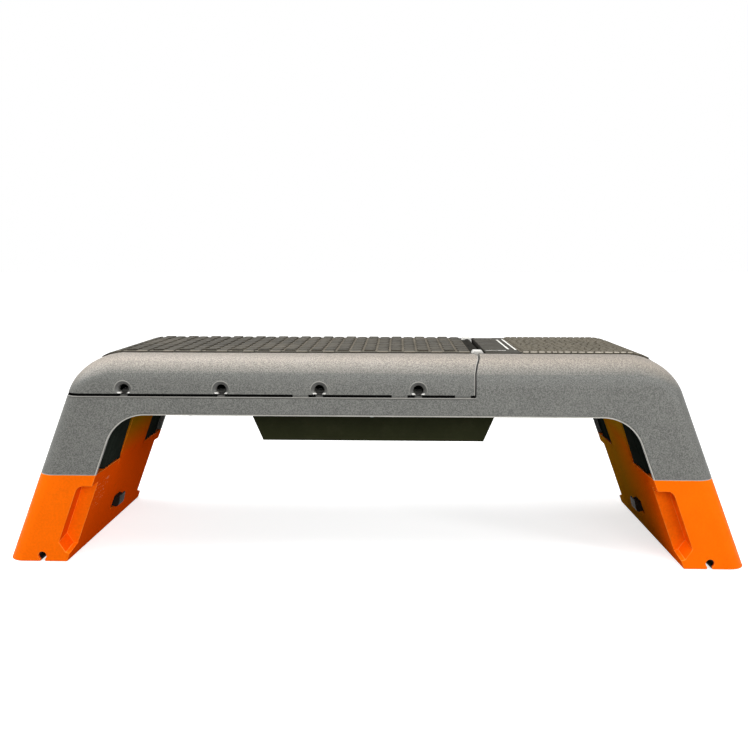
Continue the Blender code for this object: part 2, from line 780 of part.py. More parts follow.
def leg(name, side):
    body = to_object(name, shell_solid(0.0, SOLE_Z), "orange_leg", (side * PIVOT_X, 0.0, PIVOT_Z))
    slab = [(inner_line(-PAST), -PAST), (BEYOND, -PAST), (BEYOND, LEG_TOP), (inner_line(LEG_TOP), LEG_TOP)]
    keep(body, prism(mirrored(slab, side), -WIDTH, WIDTH))
    add(body, prism(stem_outline(side, 0.0, False), -STEM_HALF, STEM_HALF))
    shaft_half = STEM_HALF - STEM_WALL
    cut(body, leg_hollow(name, side), prism(stem_outline(side, STEM_WALL, True), -shaft_half, shaft_half))
    cut(body, pocket(side, -1), pocket(side, 1), *tube_channel(side), catch_window(side),
        hole((side * PIVOT_X, PIVOT_Z), LEG_PIN, -CHEEK[1], CHEEK[1]))
    return body


def leg_sole(name, side):
    """Insert that closes the leg from below, with the tube's channel and seats for the pads."""
    gap = LEG_WALL + GAP
    made = to_object(name, shell_solid(gap, -PAST), "black_plastic", (side * PIVOT_X, 0.0, PIVOT_Z))
    plate = [(inner_line(SOLE_Z, gap), SOLE_Z), (BEYOND, SOLE_Z), (BEYOND, SOLE_TOP),
             (inner_line(SOLE_TOP, gap), SOLE_TOP)]
    keep(made, prism(mirrored(plate, side), -WIDTH, WIDTH))
    half, top = CHANNEL_COVER
    cover = span(side, CHANNEL[0] - half, CHANNEL[0] + half)
    add(made, block(cover, (gap - HALF, HALF - gap), (SOLE_TOP - BITE, top)))
    reach = PAD_HALF + GAP
    seats = [block(span(side, low - GAP, high + GAP), (-reach, reach), (-PAST, PAD_THICK + GAP))
             for low, high in PAD_SPANS]
    cut(made, *tube_channel(side), *seats)
    return made


def sole_pads(name, side):
    for label, reach in zip(("inner", "outer"), PAD_SPANS):
        pad = block(span(side, *reach), (-PAD_HALF, PAD_HALF), (0.0, PAD_THICK))
        to_object("%s_pad_%s" % (name, label), pad, "rubber_pad")


def on_leg(side, points, low, high):
    """Extrude an outline that is given round the catch's middle."""
    return prism([leg_frame(side, LATCH_S + s, n) for s, n in points], low, high)


def box_points(s, n):
    return ((s[0], n[0]), (s[0], n[1]), (s[1], n[1]), (s[1], n[0]))


def latch(name, side):
    """Sliding catch with a nose at its upper end and a flange that stays inside the leg."""
    half = LATCH_HEIGHT / 2
    tip = half + LATCH_NOSE
    shape = (
        (-half, -LATCH_BACK), (-half, LATCH_OUT - NOSE_SET), (-half + NOSE_SET, LATCH_OUT - GAP),
        (0.0, LATCH_OUT), (tip - BITE, LATCH_OUT - NOSE_SET + BITE), (tip, LATCH_OUT - NOSE_SET),
        (tip, NOSE_ROOT), (half, NOSE_ROOT), (half, -LATCH_BACK),
    )
    made = to_object(name, on_leg(side, shape, -LATCH_HALF, LATCH_HALF), "black_plastic")
    flange = box_points((-FLANGE_HALF, FLANGE_HALF), FLANGE_DEPTH)
    add(made, on_leg(side, flange, -FLANGE_WIDE, FLANGE_WIDE))
    return made


def latch_housing(name, side):
    """Open box behind the window that guides the catch and backs its spring."""
    half = HOUSING_HALF - HOUSING_WALL
    body = on_leg(side, box_points(HOUSING_SPAN, HOUSING_DEPTH), -HOUSING_HALF, HOUSING_HALF)
    made = to_object(name, body, "black_plastic")
    room = box_points((HOUSING_SPAN[0] + HOUSING_WALL, HOUSING_SPAN[1] - HOUSING_WALL),
                      (HOUSING_DEPTH[0] + HOUSING_WALL, -HOUSING_DEPTH[1]))
    cut(made, on_leg(side, room, -half, half))
    return made


def latch_spring(name, side):
    """Coil between the housing's end and the catch."""
    count = SPRING_TURNS * SPRING_POINTS
    start, end = SPRING_SPAN
    points = []
    for i in range(count + 1):
        angle = math.tau * i / SPRING_POINTS
        s = LATCH_S + start + (end - start) * i / count
        x, z = leg_frame(side, s, SPRING_DEPTH + SPRING_COIL * math.cos(angle))
        points.append(Vector((x, SPRING_COIL * math.sin(angle), z)))
    return to_object(name, swept(points, SPRING_WIRE, SPRING_SIDES), "steel")


def flange_strip(side, depth, thick, low, high):
    """Raked plate at a depth behind the inner face."""
    back = depth + thick
    outline = [(inner_line(WELL_LOW, depth), WELL_LOW), (inner_line(WELL_LOW, back), WELL_LOW),
               (inner_line(FLANGE_TOP, back), FLANGE_TOP), (inner_line(FLANGE_TOP, depth), FLANGE_TOP)]
    return prism(mirrored(outline, side), low, high)


def leg_well(name, side):
    """Liner inside a socket: two cheeks for the pivot, a back plate and ribbed flanges."""
    outer = FRAME_WALL + WELL_SHY
    cheek = [
        (inner_line(WELL_LOW, CHEEK_SET), WELL_LOW), (outer_line(WELL_LOW, outer), WELL_LOW),
        (outer_line(WELL_TOP, outer) - WELL_LEAN, WELL_TOP),
        (inner_line(WELL_TOP, CHEEK_SET + WELL_CREST), WELL_TOP),
    ]
    made = to_object(name, prism(mirrored(cheek, side), -CHEEK[1], CHEEK[1]), "well_liner")
    low, top, back = WELL_LOW - PAST, WELL_TOP + PAST, outer + WELL_PLATE
    room = [(inner_line(low, WELL_MOUTH[0]), low), (outer_line(low, back), low),
            (outer_line(top, back) - WELL_LEAN, top), (inner_line(top, WELL_MOUTH[1]), top)]
    cut(made, prism(mirrored(room, side), -CHEEK[0], CHEEK[0]))
    for way in (-1, 1):
        front = span(way, CHEEK[1] - BITE, WELL_RIBS[0] + BITE)
        rear = span(way, WELL_RIBS[0] + BITE, HALF - FRAME_WALL - WELL_SHY)
        add(made, flange_strip(side, FRONT_PLATE, WELL_PLATE, *front))
        for place in WELL_RIBS:
            rib = span(way, place, place + RIB_THICK)
            add(made, flange_strip(side, RIB_SPAN[0], RIB_SPAN[1] - RIB_SPAN[0], *rib))
        add(made, flange_strip(side, BACK_PLATE, WELL_PLATE, *rear))
    cut(made, hole((side * PIVOT_X, PIVOT_Z), LEG_PIN, -LEG_PIN_HALF, LEG_PIN_HALF))
    return made


def leg_pin(name, side):
    return to_object(name, bar((side * PIVOT_X, PIVOT_Z), LEG_PIN, -LEG_PIN_HALF, LEG_PIN_HALF), "steel")


def folded_x(s):
    """Distance from the middle of a place up a leg's inner face once the leg is folded in."""
    pivot_s = (PIVOT_Z - PIVOT_SET * math.sin(INNER_RAKE)) / math.cos(INNER_RAKE)
    return PIVOT_X - pivot_s + s


def base_tray():
    """Pan under the deck with a flared basin, screw holes and windows for the folded legs' catches."""
    top = PAN_Z + PAN_THICK
    pan = block((-PAN_REACH, PAN_REACH), (-PAN_HALF, PAN_HALF), (PAN_Z, top))
    tray = to_object("base_tray", pan, "olive_tray")
    rim = TRAY_REACH + TRAY_FLARE * (top - TRAY_BOTTOM)
    basin = [(-TRAY_REACH, TRAY_BOTTOM), (TRAY_REACH, TRAY_BOTTOM),
             (rim - STEP, top - STEP), (STEP - rim, top - STEP)]
    add(tray, prism(basin, -TRAY_HALF, TRAY_HALF))
    floor = TRAY_REACH - PAN_THICK
    mouth = rim - PAN_THICK + TRAY_FLARE * PAST
    low = TRAY_BOTTOM + PAN_THICK
    room = [(-floor, low), (floor, low), (mouth, top + PAST), (-mouth, top + PAST)]
    cut(tray, prism(room, PAN_THICK - TRAY_HALF, TRAY_HALF - PAN_THICK))
    near = folded_x(LATCH_S) - LATCH_HEIGHT / 2 - LATCH_TRAVEL - WINDOW_CLEAR
    far = folded_x(LATCH_S) + LATCH_HEIGHT / 2 + WINDOW_CLEAR
    half = LATCH_HALF + WINDOW_CLEAR
    for side in (-1, 1):
        cut(tray, block(span(side, near, far), (-half, half), (PAN_Z - BITE, top + BITE)))
        for x in SCREW_X:
            cut(tray, upright(circle((x, side * SCREW_Y), SCREW_HOLE, SMALL_SIDES), PAN_Z - BITE, top + BITE))
    return tray


def screw(name, x, y):
    """Pan-head screw driven up through the tray's rim."""
    radius, thick = SCREW_HEAD
    shank = upright(circle((x, y), SCREW_RADIUS, SMALL_SIDES), PAN_Z - BITE, PAN_Z + SCREW_RISE)
    made = to_object(name, shank, "steel")
    add(made, upright(circle((x, y), radius, HEAD_SIDES), PAN_Z - GAP - thick, PAN_Z - GAP))
    return made


def prop_points():
    """Pivot and foot of the prop with the backrest closed, and the pivot's tilt from the hinge."""
    tilt = math.asin(PROP_DROP / PROP_LENGTH)
    pivot = Vector((HINGE_X - PROP_LENGTH * math.cos(tilt), HINGE_Z - PROP_DROP))
    slope = 2 * RACK_ANGLE - tilt
    foot = pivot - Vector((math.cos(slope), math.sin(slope))) * PROP_LENGTH
    return pivot, foot, tilt


def prop_bar():
    """Bent bar: two arms that turn in the clips and a foot that rests on the racks."""
    pivot, foot, _ = prop_points()
    rod = bar(foot, PROP_ROD, -PROP_FOOT_HALF, PROP_FOOT_HALF)
    made = to_object("prop_bar", rod, "steel", (pivot.x, 0.0, pivot.y))
    way = (foot - pivot).normalized()
    for side in (-1, 1):
        points = [Vector((pivot.x, side * PROP_PIVOT_Y, pivot.y))]
        for i in range(BEND_STEPS + 1):
            angle = math.pi / 2 * i / BEND_STEPS
            y = PROP_HALF - PROP_BEND * (1 - math.sin(angle))
            run = PROP_BEND * (1 - math.cos(angle))
            points.append(Vector((pivot.x + way.x * run, side * y, pivot.y + way.y * run)))
        points.append(Vector((foot.x, side * PROP_HALF, foot.y)))
        add(made, swept(points, PROP_ROD - GAP, HEAD_SIDES))
    return made


def prop_clip(name, side):
    """Bracket under the backrest that carries one end of the prop."""
    pivot, _, _ = prop_points()
    y = span(side, *CLIP_SPAN)
    ceiling = SHELL_TOP - LID_WALL - GAP
    body = block((pivot.x - CLIP_HALF, pivot.x + CLIP_HALF), y, (pivot.y, ceiling))
    made = to_object(name, body, "black_plastic")
    add(made, bar(pivot, CLIP_EYE, y[0] + STEP, y[1] - STEP))
    cut(made, hole(pivot, PROP_ROD, *span(side, *CLIP_HOLE)))
    return made


def rack(name, side):
    """Notched rail that the prop's foot travels over."""
    _, _, tilt = prop_points()
    drop = PROP_ROD + RACK_CLEAR
    way = Vector((-math.cos(RACK_ANGLE), -math.sin(RACK_ANGLE)))
    down = Vector((math.sin(RACK_ANGLE), -math.cos(RACK_ANGLE)))
    hinge = Vector((HINGE_X, HINGE_Z))
    floor = PAN_Z + PAN_THICK + GAP
    top = []
    for stop in reversed(RACK_STOPS):
        reach = 2 * PROP_LENGTH * math.cos(math.radians(stop) - tilt + RACK_ANGLE)
        top += [hinge + way * (reach + run) + down * (drop + depth) for run, depth in RACK_NOTCH]
    first = top[0] - way * RACK_ENDS[0]
    last = hinge + way * (2 * PROP_LENGTH + RACK_ENDS[1]) + down * drop
    outline = [(p.x, p.y) for p in (first, *top, last)] + [(last.x, floor), (first.x, floor)]
    made = to_object(name, prism(outline, *span(side, *RACK_SPAN)), "black_plastic")
    wide, thick = RACK_BASE
    add(made, block((last.x + RACK_BASE_SHY, first.x - RACK_BASE_SHY),
                    span(side, RACK_SPAN[1] - BITE, RACK_SPAN[1] + wide), (floor + STEP, floor + thick)))
    return made


def build():
    clear_scene()
    main_frame()
    backrest_shell()
    tread("backrest_tread", -LID_TREAD_END, -1, (HINGE_X, 0.0, HINGE_Z))
    tread("seat_tread", SEAT_TREAD_START, 1)
    blank_plate()
    hinge_parts()
    for label, side in (("left", -1), ("right", 1)):
        leg(label + "_leg", side)
        leg_sole(label + "_leg_sole", side)
        sole_pads(label + "_leg", side)
        leg_well(label + "_leg_well", side)
        leg_pin(label + "_leg_pin", side)
        latch(label + "_latch", side)
        latch_housing(label + "_latch_housing", side)
        latch_spring(label + "_latch_spring", side)
    base_tray()
    for row, y in (("near", -SCREW_Y), ("far", SCREW_Y)):
        for place, x in zip(("left", "middle", "right"), SCREW_X):
            screw("tray_screw_%s_%s" % (row, place), x, y)
    prop_bar()
    for label, side in (("near", -1), ("far", 1)):
        prop_clip("prop_clip_" + label, side)
        rack("prop_rack_" + label, side)
    settle()


build()
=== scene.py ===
"""Dressed model of an adjustable aerobic step, built around the frame's solids.

X runs along the deck with the backrest end at -X, the near side is at -Y and Z is up, in metres.
"""
import math
import random

import bmesh
import bpy
from mathutils import Matrix, Vector


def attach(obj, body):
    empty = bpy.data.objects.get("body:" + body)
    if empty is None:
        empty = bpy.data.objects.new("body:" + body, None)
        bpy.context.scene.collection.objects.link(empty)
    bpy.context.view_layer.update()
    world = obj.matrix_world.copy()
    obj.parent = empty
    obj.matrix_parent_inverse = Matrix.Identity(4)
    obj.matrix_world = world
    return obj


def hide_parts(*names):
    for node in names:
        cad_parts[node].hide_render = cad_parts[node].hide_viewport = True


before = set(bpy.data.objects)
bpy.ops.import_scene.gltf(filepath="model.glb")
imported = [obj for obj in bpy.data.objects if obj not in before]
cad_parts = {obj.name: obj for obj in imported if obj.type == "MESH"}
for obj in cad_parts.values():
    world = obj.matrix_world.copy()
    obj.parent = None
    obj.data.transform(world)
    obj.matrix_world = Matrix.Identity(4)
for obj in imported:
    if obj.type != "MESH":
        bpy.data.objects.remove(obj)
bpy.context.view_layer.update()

# Overall form of the deck, as in the part's source
WIDTH = 0.360
HALF = WIDTH / 2
HEIGHT = 0.3562
TREAD_RISE = 0.0034
SHELL_TOP = HEIGHT - TREAD_RISE
FOOT_REACH = 0.6236
FOOT_INNER = 0.5182
OUTER_RAKE = math.radians(21.7)
INNER_RAKE = math.radians(20.7)
END_RADIUS = 0.093
EDGE_RADIUS_TOP = 0.050
EDGE_RADIUS_LEG = 0.028
ARC_STEPS = 24
EDGE_STEPS = 14

# Heights of the main lines, and the walls
SOCKET_Z = 0.152
SKIRT_Z = 0.2548
PARTING_Z = 0.2867
PARTING_GAP = 0.003
ARCH_RADIUS = 0.070
ARCH_STEPS = 24
FRAME_WALL = 0.005
LID_WALL = 0.0045

# Play between pieces, a hair's breadth, overlap of joined forms, and reach of a cutter past its work
GAP = 0.0003
STEP = 0.0002
BITE = 0.001
PAST = 0.02
BEYOND = 0.8
ABOVE = 0.40
ACROSS = (-WIDTH, WIDTH)
ROUND_SIDES = 32

# Lips along the arch, under the parting line and at the sockets' ends, with grooves behind them
LIP = 0.0019
GROOVE = 0.0013
GROOVE_DEPTH = 0.0007
RIM_DEPTH = 0.0012

# Seam and hinge
SEAM_X = 0.169
SEAM_GAP = 0.0015
SEAM_EDGE = 0.0014
SEAM_BEND = (0.0, 0.325)
SEAM_KINK = (0.0030, 0.338)
SEAM_CREST_Z = 0.348
SEAM_CREST_RUN = 0.0020
LID_LEAN = 0.0072
DECK_LEAN = 0.0085
BULKHEAD_LOW = 0.263
HINGE_X = 0.177
HINGE_Z = 0.349
HINGE_BARREL = 0.006
HINGE_CAP = 0.010
CAP_SPAN = (0.096, 0.122)
KNUCKLE_SPAN = (0.0118, 0.0932)
MIDDLE_KNUCKLE = 0.011
KNUCKLE_FOOT = 0.005
LIFT = math.radians(60)
TROUGH_END = 0.1885
TROUGH_HALF = 0.1240
TROUGH_Z = 0.339
TROUGH_WALL = 0.0045
TROUGH_LIP = 0.0035

# Treads and the bare plate
TREAD_HALF = 0.1275
TREAD_DROP = math.radians(34)
TREAD_CORNER = 0.028
LID_TREAD_END = 0.1645
SEAT_TREAD_START = 0.2495
MAT_THICK = 0.0009
MAT_STEPS = 60
COLUMN_PITCH = 0.0227
COLUMN_GROOVE = 0.0032
NODULE_PITCH = 0.0285
NODULE_GROOVE = 0.0026
NODULE_SIDES = 20
NODULE_RINGS = ((1.0, 0.0), (0.985, 0.60), (0.93, 0.88), (0.84, 1.0), (0.45, 0.97))
SHORT_COLUMN_END = 0.106
EDGE_ROW = 0.0040
CREST_RISE = 0.0020
NODULE_START = (0.25, 0.75)
NODULE_POWER = 3.0
NODULE_SHOULDER = 0.008
NODULE_SINK = 0.0003
PEBBLE_ROWS = 26
PEBBLE_LENGTHS = (0.0095, 0.0165)
PEBBLE_INSET = (0.0007, 0.0006)
PEBBLE_STRAY = 0.0006
PEBBLE_EDGE = 0.003
PEBBLE_STAGGER = 0.012
PEBBLE_POWER = 2.6
PLATE_TOP_RISE = 0.0017

# Keyhole slots
KEY_FIRST = -0.4080
KEY_STEP = 0.1613
KEYS = [KEY_FIRST + i * KEY_STEP for i in range(4)]
KEY_Z = 0.2978
KEY_HOLE = 0.0082
KEY_PROFILE = (
    (0.0180, -0.0030), (0.0160, -0.0008), (0.0151, -0.0001), (0.0145, 0.0003), (0.0138, 0.0008),
    (0.0126, 0.0017), (0.0112, 0.0028), (0.0099, 0.0037), (0.0090, 0.0043), (0.0084, 0.0050),
    (KEY_HOLE, 0.0062), (KEY_HOLE, 0.0200),
)
KEY_SIDES = 40
# Radii of the keyholes' painted rim highlight and glints, and heights over which the painted dish shade,
# glints and rim highlight fade
KEY_RIM = (0.0138, 0.0150)
KEY_GLINT = 0.0116
KEY_DISH_SHADE = (-0.006, 0.002)
KEY_GLINT_SHADE = (-0.0040, -0.0055)
KEY_RING_SHADE = (-0.004, 0.008)
KEY_BOSS = 0.0165
KEY_BOSS_DEPTH = 0.012
KEY_NECK = 0.008
TONGUE = ((-0.0060, 0.0), (-0.0025, 0.0022), (0.0025, 0.0022), (0.0060, 0.0))
SADDLE_HALF = 0.013
SADDLE_SPAN = (0.131, 0.166)
SADDLE_TOP = (0.2932, 0.2908)
REGISTER_WALL = 0.0028
REGISTER_TOP = 0.2905
REGISTER_LOW = 0.2887
REGISTER_END = 0.1565
LUG_X = (-0.116, 0.0455, 0.148)
LUG_LENGTH = 0.025
LUG_TOP = 0.0045

# Legs
PIVOT_Z = 0.230
PIVOT_SET = 0.0223
PIVOT_X = FOOT_INNER - PIVOT_Z * math.tan(INNER_RAKE) + PIVOT_SET / math.cos(INNER_RAKE)
SOLE_Z = 0.001
LEG_TOP = SOCKET_Z - GAP
LEG_WALL = 0.005
STEM_WALL = 0.006
STEM_HALF = 0.067
STEM_OUT = 0.0295
STEM_BITE = 0.012
STEM_STEPS = 18
STEM_OPEN = 0.06
CHEEK_OUT = 0.0737
LEG_PIN = 0.005
POCKET_DEPTH = 0.027
POCKET_WALL = 0.0045
POCKET_WIDTH = 0.025
POCKET_STEP = 0.0175
POCKET_TOP = 0.1330
POCKET_LOW = 0.0170
POCKET_TAIL = (0.030, 0.010)
POCKET_CORNER = 0.009
POCKET_CORNER_STEPS = 6
POCKET_RAMP = 0.008
CHANNEL = (0.560, 0.0108)
CHANNEL_RADIUS = 0.0070
CHANNEL_SLOT = 0.0085
SCUFF_Y = (-0.148, -0.100)
SCUFF_Z = (0.085, 0.130)
# Height up the stems, and reach along the right leg's inner face, of the painted mustard shade and bounce
# light
MUSTARD_Z = (0.154, 0.220)
MUSTARD_Y = (-0.130, 0.060)
LATCH_S = 0.055 / math.cos(INNER_RAKE)
LATCH_HALF = 0.015
LATCH_HEIGHT = 0.019
LATCH_TRAVEL = 0.006
LATCH_CLEAR = 0.001
WINDOW_DEPTH = 0.012

# Tray's ledges
PAN_Z = 0.255
PAN_THICK = 0.003
PAN_REACH = 0.372
LEDGE = (0.160, 0.1765)
LEDGE_THICK = 0.0042

# Rounding of edges and the angle over which an edge counts as sharp
SHELL_EDGE = 0.0006
LEG_EDGE = 0.0010
SHARP = math.radians(38)
PAD_SHARP = math.radians(50)
WELD = 0.00002
FLAT = math.radians(0.4)

# Floor, whose glow reaches pure white away from the object, and the light of the world
FLOOR_SIZE = 30.0
GLOW_REACH = (0.9, 3.0)
GLOW_LEVEL = (0.69, 1.0)
WORLD_LEVEL = 0.22

# Camera fitted to the photograph, whose frame is square
PHOTO_SIZE = 748
FOCAL_PIXELS = 766.89
EYE = Vector((0.0427, -1.4053, 0.5067))
YAW = -0.0316
PITCH = 0.1469
SENSOR = 36.0


class Look:
    """A material that is put together from a few kinds of texture."""

    def __init__(self, name, metallic=0.0, specular=0.5):
        self.material = bpy.data.materials.new(name)
        self.material.use_nodes = True
        self.nodes = self.material.node_tree.nodes
        self.links = self.material.node_tree.links
        self.shader = self.nodes["Principled BSDF"]
        self.shader.inputs["Metallic"].default_value = metallic
        self.shader.inputs["Specular IOR Level"].default_value = specular
        self.source = self.nodes.new("ShaderNodeTexCoord")
        self.place = self.source.outputs["Object"]
        self.x, self.y, self.z = self.axes(self.place)

    def stretched(self, scale, turn):
        node = self.nodes.new("ShaderNodeMapping")
        node.inputs["Rotation"].default_value = turn
        node.inputs["Scale"].default_value = scale
        self.links.new(self.place, node.inputs["Vector"])
        return node.outputs["Vector"]

    def noise(self, size, detail=3.0, roughness=0.55, vector=None):
        """Cloudy noise whose features are about as wide as the given size in metres."""
        node = self.nodes.new("ShaderNodeTexNoise")
        node.inputs["Scale"].default_value = 1.0 / size
        node.inputs["Detail"].default_value = detail
        node.inputs["Roughness"].default_value = roughness
        self.links.new(vector or self.place, node.inputs["Vector"])
        return node.outputs["Fac"]

    def spread(self, source, low, high, first=0.0, second=1.0):
        """Map one range of values onto another and hold it at the ends."""
        node = self.nodes.new("ShaderNodeMapRange")
        node.inputs["From Min"].default_value = low
        node.inputs["From Max"].default_value = high
        node.inputs["To Min"].default_value = first
        node.inputs["To Max"].default_value = second
        self.links.new(source, node.inputs["Value"])
        return node.outputs["Result"]

    def maths(self, operation, *values):
        node = self.nodes.new("ShaderNodeMath")
        node.operation = operation
        for value, socket in zip(values, node.inputs):
            self.feed(value, socket)
        return node.outputs["Value"]

    def product(self, *values):
        result = values[0]
        for value in values[1:]:
            result = self.maths("MULTIPLY", result, value)
        return result

    def feed(self, value, socket):
        """Set a constant on a socket, or link another node's output to it."""
        if isinstance(value, tuple):
            socket.default_value = (*value, 1.0)
        elif isinstance(value, float):
            socket.default_value = value
        else:
            self.links.new(value, socket)

    def mix(self, factor, first, second):
        node = self.nodes.new("ShaderNodeMix")
        node.data_type = "RGBA"
        self.links.new(factor, node.inputs["Factor"])
        for value, socket in zip((first, second), [s for s in node.inputs if s.type == "RGBA"]):
            self.feed(value, socket)
        return [s for s in node.outputs if s.type == "RGBA"][0]

    def shaded(self, colour, factor):
        """A colour made lighter or darker by a factor."""
        node = self.nodes.new("ShaderNodeVectorMath")
        node.operation = "SCALE"
        self.links.new(colour, node.inputs[0])
        self.links.new(factor, node.inputs["Scale"])
        return node.outputs["Vector"]

    def axes(self, vector):
        node = self.nodes.new("ShaderNodeSeparateXYZ")
        self.links.new(vector, node.inputs["Vector"])
        return node.outputs.values()

    def facing(self):
        """How far a surface faces along each axis."""
        return self.axes(self.source.outputs["Normal"])

    def inside(self, source, low, high, edge=0.0005):
        """One between two limits and nothing outside them."""
        past_low = self.spread(source, low - edge, low)
        return self.product(past_low, self.spread(source, high, high + edge, 1.0, 0.0))

    def clouded(self, base, dark, light, size, detail=4.0, roughness=0.55):
        """A colour that drifts between a darker and a lighter shade of itself."""
        drift = self.spread(self.noise(size, detail, roughness), 0.3, 0.7)
        return self.mix(drift, scaled(base, dark), scaled(base, light))

    def flecks(self, size, amount):
        return self.spread(self.noise(size, 2.0, 0.7), 0.35, 0.65, 0.0, amount)

    def colour(self, value):
        self.links.new(value, self.shader.inputs["Base Color"])

    def specular(self, value):
        self.links.new(value, self.shader.inputs["Specular IOR Level"])

    def roughness(self, low, high, size=0.018):
        self.links.new(self.spread(self.noise(size), 0.3, 0.7, low, high), self.shader.inputs["Roughness"])

    def relief(self, *layers):
        """Stack bumps, each a texture with its depth in metres."""
        normal = None
        for texture, depth in layers:
            node = self.nodes.new("ShaderNodeBump")
            node.inputs["Strength"].default_value = 1.0
            node.inputs["Distance"].default_value = depth
            self.links.new(texture, node.inputs["Height"])
            if normal:
                self.links.new(normal, node.inputs["Normal"])
            normal = node.outputs["Normal"]
        self.links.new(normal, self.shader.inputs["Normal"])


def scaled(colour, factor):
    return tuple(min(1.0, c * factor) for c in colour)


def lean_of_seam(look):
    """How far the seam has leant over at a height."""
    first = look.spread(look.z, SEAM_BEND[1], SEAM_KINK[1], 0.0, SEAM_KINK[0])
    second = look.spread(look.z, SEAM_KINK[1], SEAM_CREST_Z, 0.0, LID_LEAN - SEAM_KINK[0])
    return look.maths("ADD", first, second)


def with_seam(look, tone):
    """Painted highlight on the backrest's side of the seam, and painted shade in the seam's gap and on the
    deck's edge beside it.
    """
    place = look.maths("SUBTRACT", look.x, lean_of_seam(look))
    start = SEAM_X - SEAM_GAP
    above = look.spread(look.z, PARTING_Z, PARTING_Z + PARTING_GAP)
    # painted highlight along the backrest's edge of the seam
    painted_seam_highlight = look.product(look.inside(place, start - SEAM_EDGE, start - STEP, STEP), above)
    tone = look.mix(painted_seam_highlight, tone, (0.240, 0.232, 0.212))
    # painted shade in the seam's gap, reaching onto the deck's edge
    dark = look.product(look.inside(place, start - STEP, SEAM_X + SEAM_EDGE / 2, STEP), above)
    return look.mix(dark, tone, (0.010, 0.010, 0.009))


def from_key(look):
    """Distance along the deck from the nearest keyhole's middle."""
    run = look.maths("SUBTRACT", look.x, KEY_FIRST)
    return look.maths("WRAP", run, KEY_STEP / 2, -KEY_STEP / 2)


def with_keyholes(look, tone):
    """Painted shade in the dishes' upper parts, painted glints low beside the neck, a painted highlight on
    the dishes' rims and painted light on the saddles that show in the holes.
    """
    run = from_key(look)
    rise = look.maths("SUBTRACT", look.z, KEY_Z)
    reach = look.maths("SQRT", look.maths("ADD", look.product(run, run), look.product(rise, rise)))
    under_lid = look.spread(look.x, SEAM_X, SEAM_X - PAST)
    dish = look.product(look.inside(reach, KEY_HOLE + STEP, KEY_RIM[0]), under_lid)
    # painted shade: the upper part of each dish, which faces down, is darkened
    tone = look.mix(look.product(dish, look.spread(rise, *KEY_DISH_SHADE)), tone, (0.070, 0.069, 0.064))
    lid_only = look.spread(look.z, PARTING_Z + PARTING_GAP - STEP, PARTING_Z + PARTING_GAP)
    # painted highlight: bright glints low in each dish, beside the neck
    beside = look.inside(reach, KEY_HOLE + STEP, KEY_GLINT)
    beside = look.product(beside, look.spread(rise, *KEY_GLINT_SHADE))
    tone = look.mix(look.product(beside, under_lid, lid_only), tone, (0.740, 0.730, 0.690))
    # painted highlight on each dish's rim, strongest at its top
    ring = look.product(look.inside(reach, *KEY_RIM), look.spread(rise, *KEY_RING_SHADE), under_lid)
    tone = look.mix(ring, tone, (0.250, 0.244, 0.222))
    depth = look.maths("ABSOLUTE", look.y)
    # painted light: the saddles seen in the holes are painted pale, palest at their inner end, for light
    # that hardly reaches them
    behind = look.inside(depth, *SADDLE_SPAN)
    saddle = look.product(behind, look.inside(look.z, PARTING_Z, SADDLE_TOP[0]))
    inward = look.spread(depth, SADDLE_SPAN[1], SADDLE_SPAN[0])
    return look.mix(saddle, tone, look.mix(inward, (0.110, 0.108, 0.100), (0.620, 0.610, 0.570)))


def parting_gap(look):
    """Where the parting gap's painted shade goes: between the lugs, and there also clear of the tongues."""
    along = look.spread(look.x, SEAM_X, SEAM_X - STEP)
    level = look.inside(look.z, PARTING_Z - STEP, PARTING_Z + PARTING_GAP + BITE, STEP)
    between = look.product(level, along)
    for x in LUG_X:
        lug = look.inside(look.x, x - LUG_LENGTH / 2 - STEP, x + LUG_LENGTH / 2 + STEP, STEP)
        between = look.product(between, look.spread(lug, 0.0, 1.0, 1.0, 0.0))
    clear = look.spread(look.maths("ABSOLUTE", from_key(look)), TONGUE[3][0], TONGUE[3][0] + STEP)
    return between, look.product(between, clear)


def with_lip(look, tone, between, clear):
    """Painted shade in the parting gap, black and grey at the tongues, a painted highlight on the edge
    under it, painted shade in the groove below and a painted highlight at the sockets' ends.
    """
    along = look.spread(look.x, SEAM_X, SEAM_X - STEP)
    # painted shade: the parting gap is painted dark grey at the tongues and black elsewhere between the
    # lugs
    tone = look.mix(between, tone, (0.050, 0.049, 0.045))
    tone = look.mix(clear, tone, (0.006, 0.006, 0.006))
    # painted highlight on the edge under the parting gap
    lip = look.product(look.inside(look.z, PARTING_Z - LIP, PARTING_Z - 2 * STEP, STEP), along)
    tone = look.mix(lip, tone, (0.270, 0.265, 0.240))
    # painted shade in the shallow groove under that edge
    groove = look.product(look.inside(look.z, PARTING_Z - LIP - GROOVE, PARTING_Z - LIP, STEP), along)
    tone = look.mix(groove, tone, (0.070, 0.068, 0.062))
    # painted highlight along the sockets' ends
    painted_socket_highlight = look.inside(look.z, SOCKET_Z - STEP, SOCKET_Z + BITE, STEP)
    return look.mix(painted_socket_highlight, tone, (0.300, 0.295, 0.270))


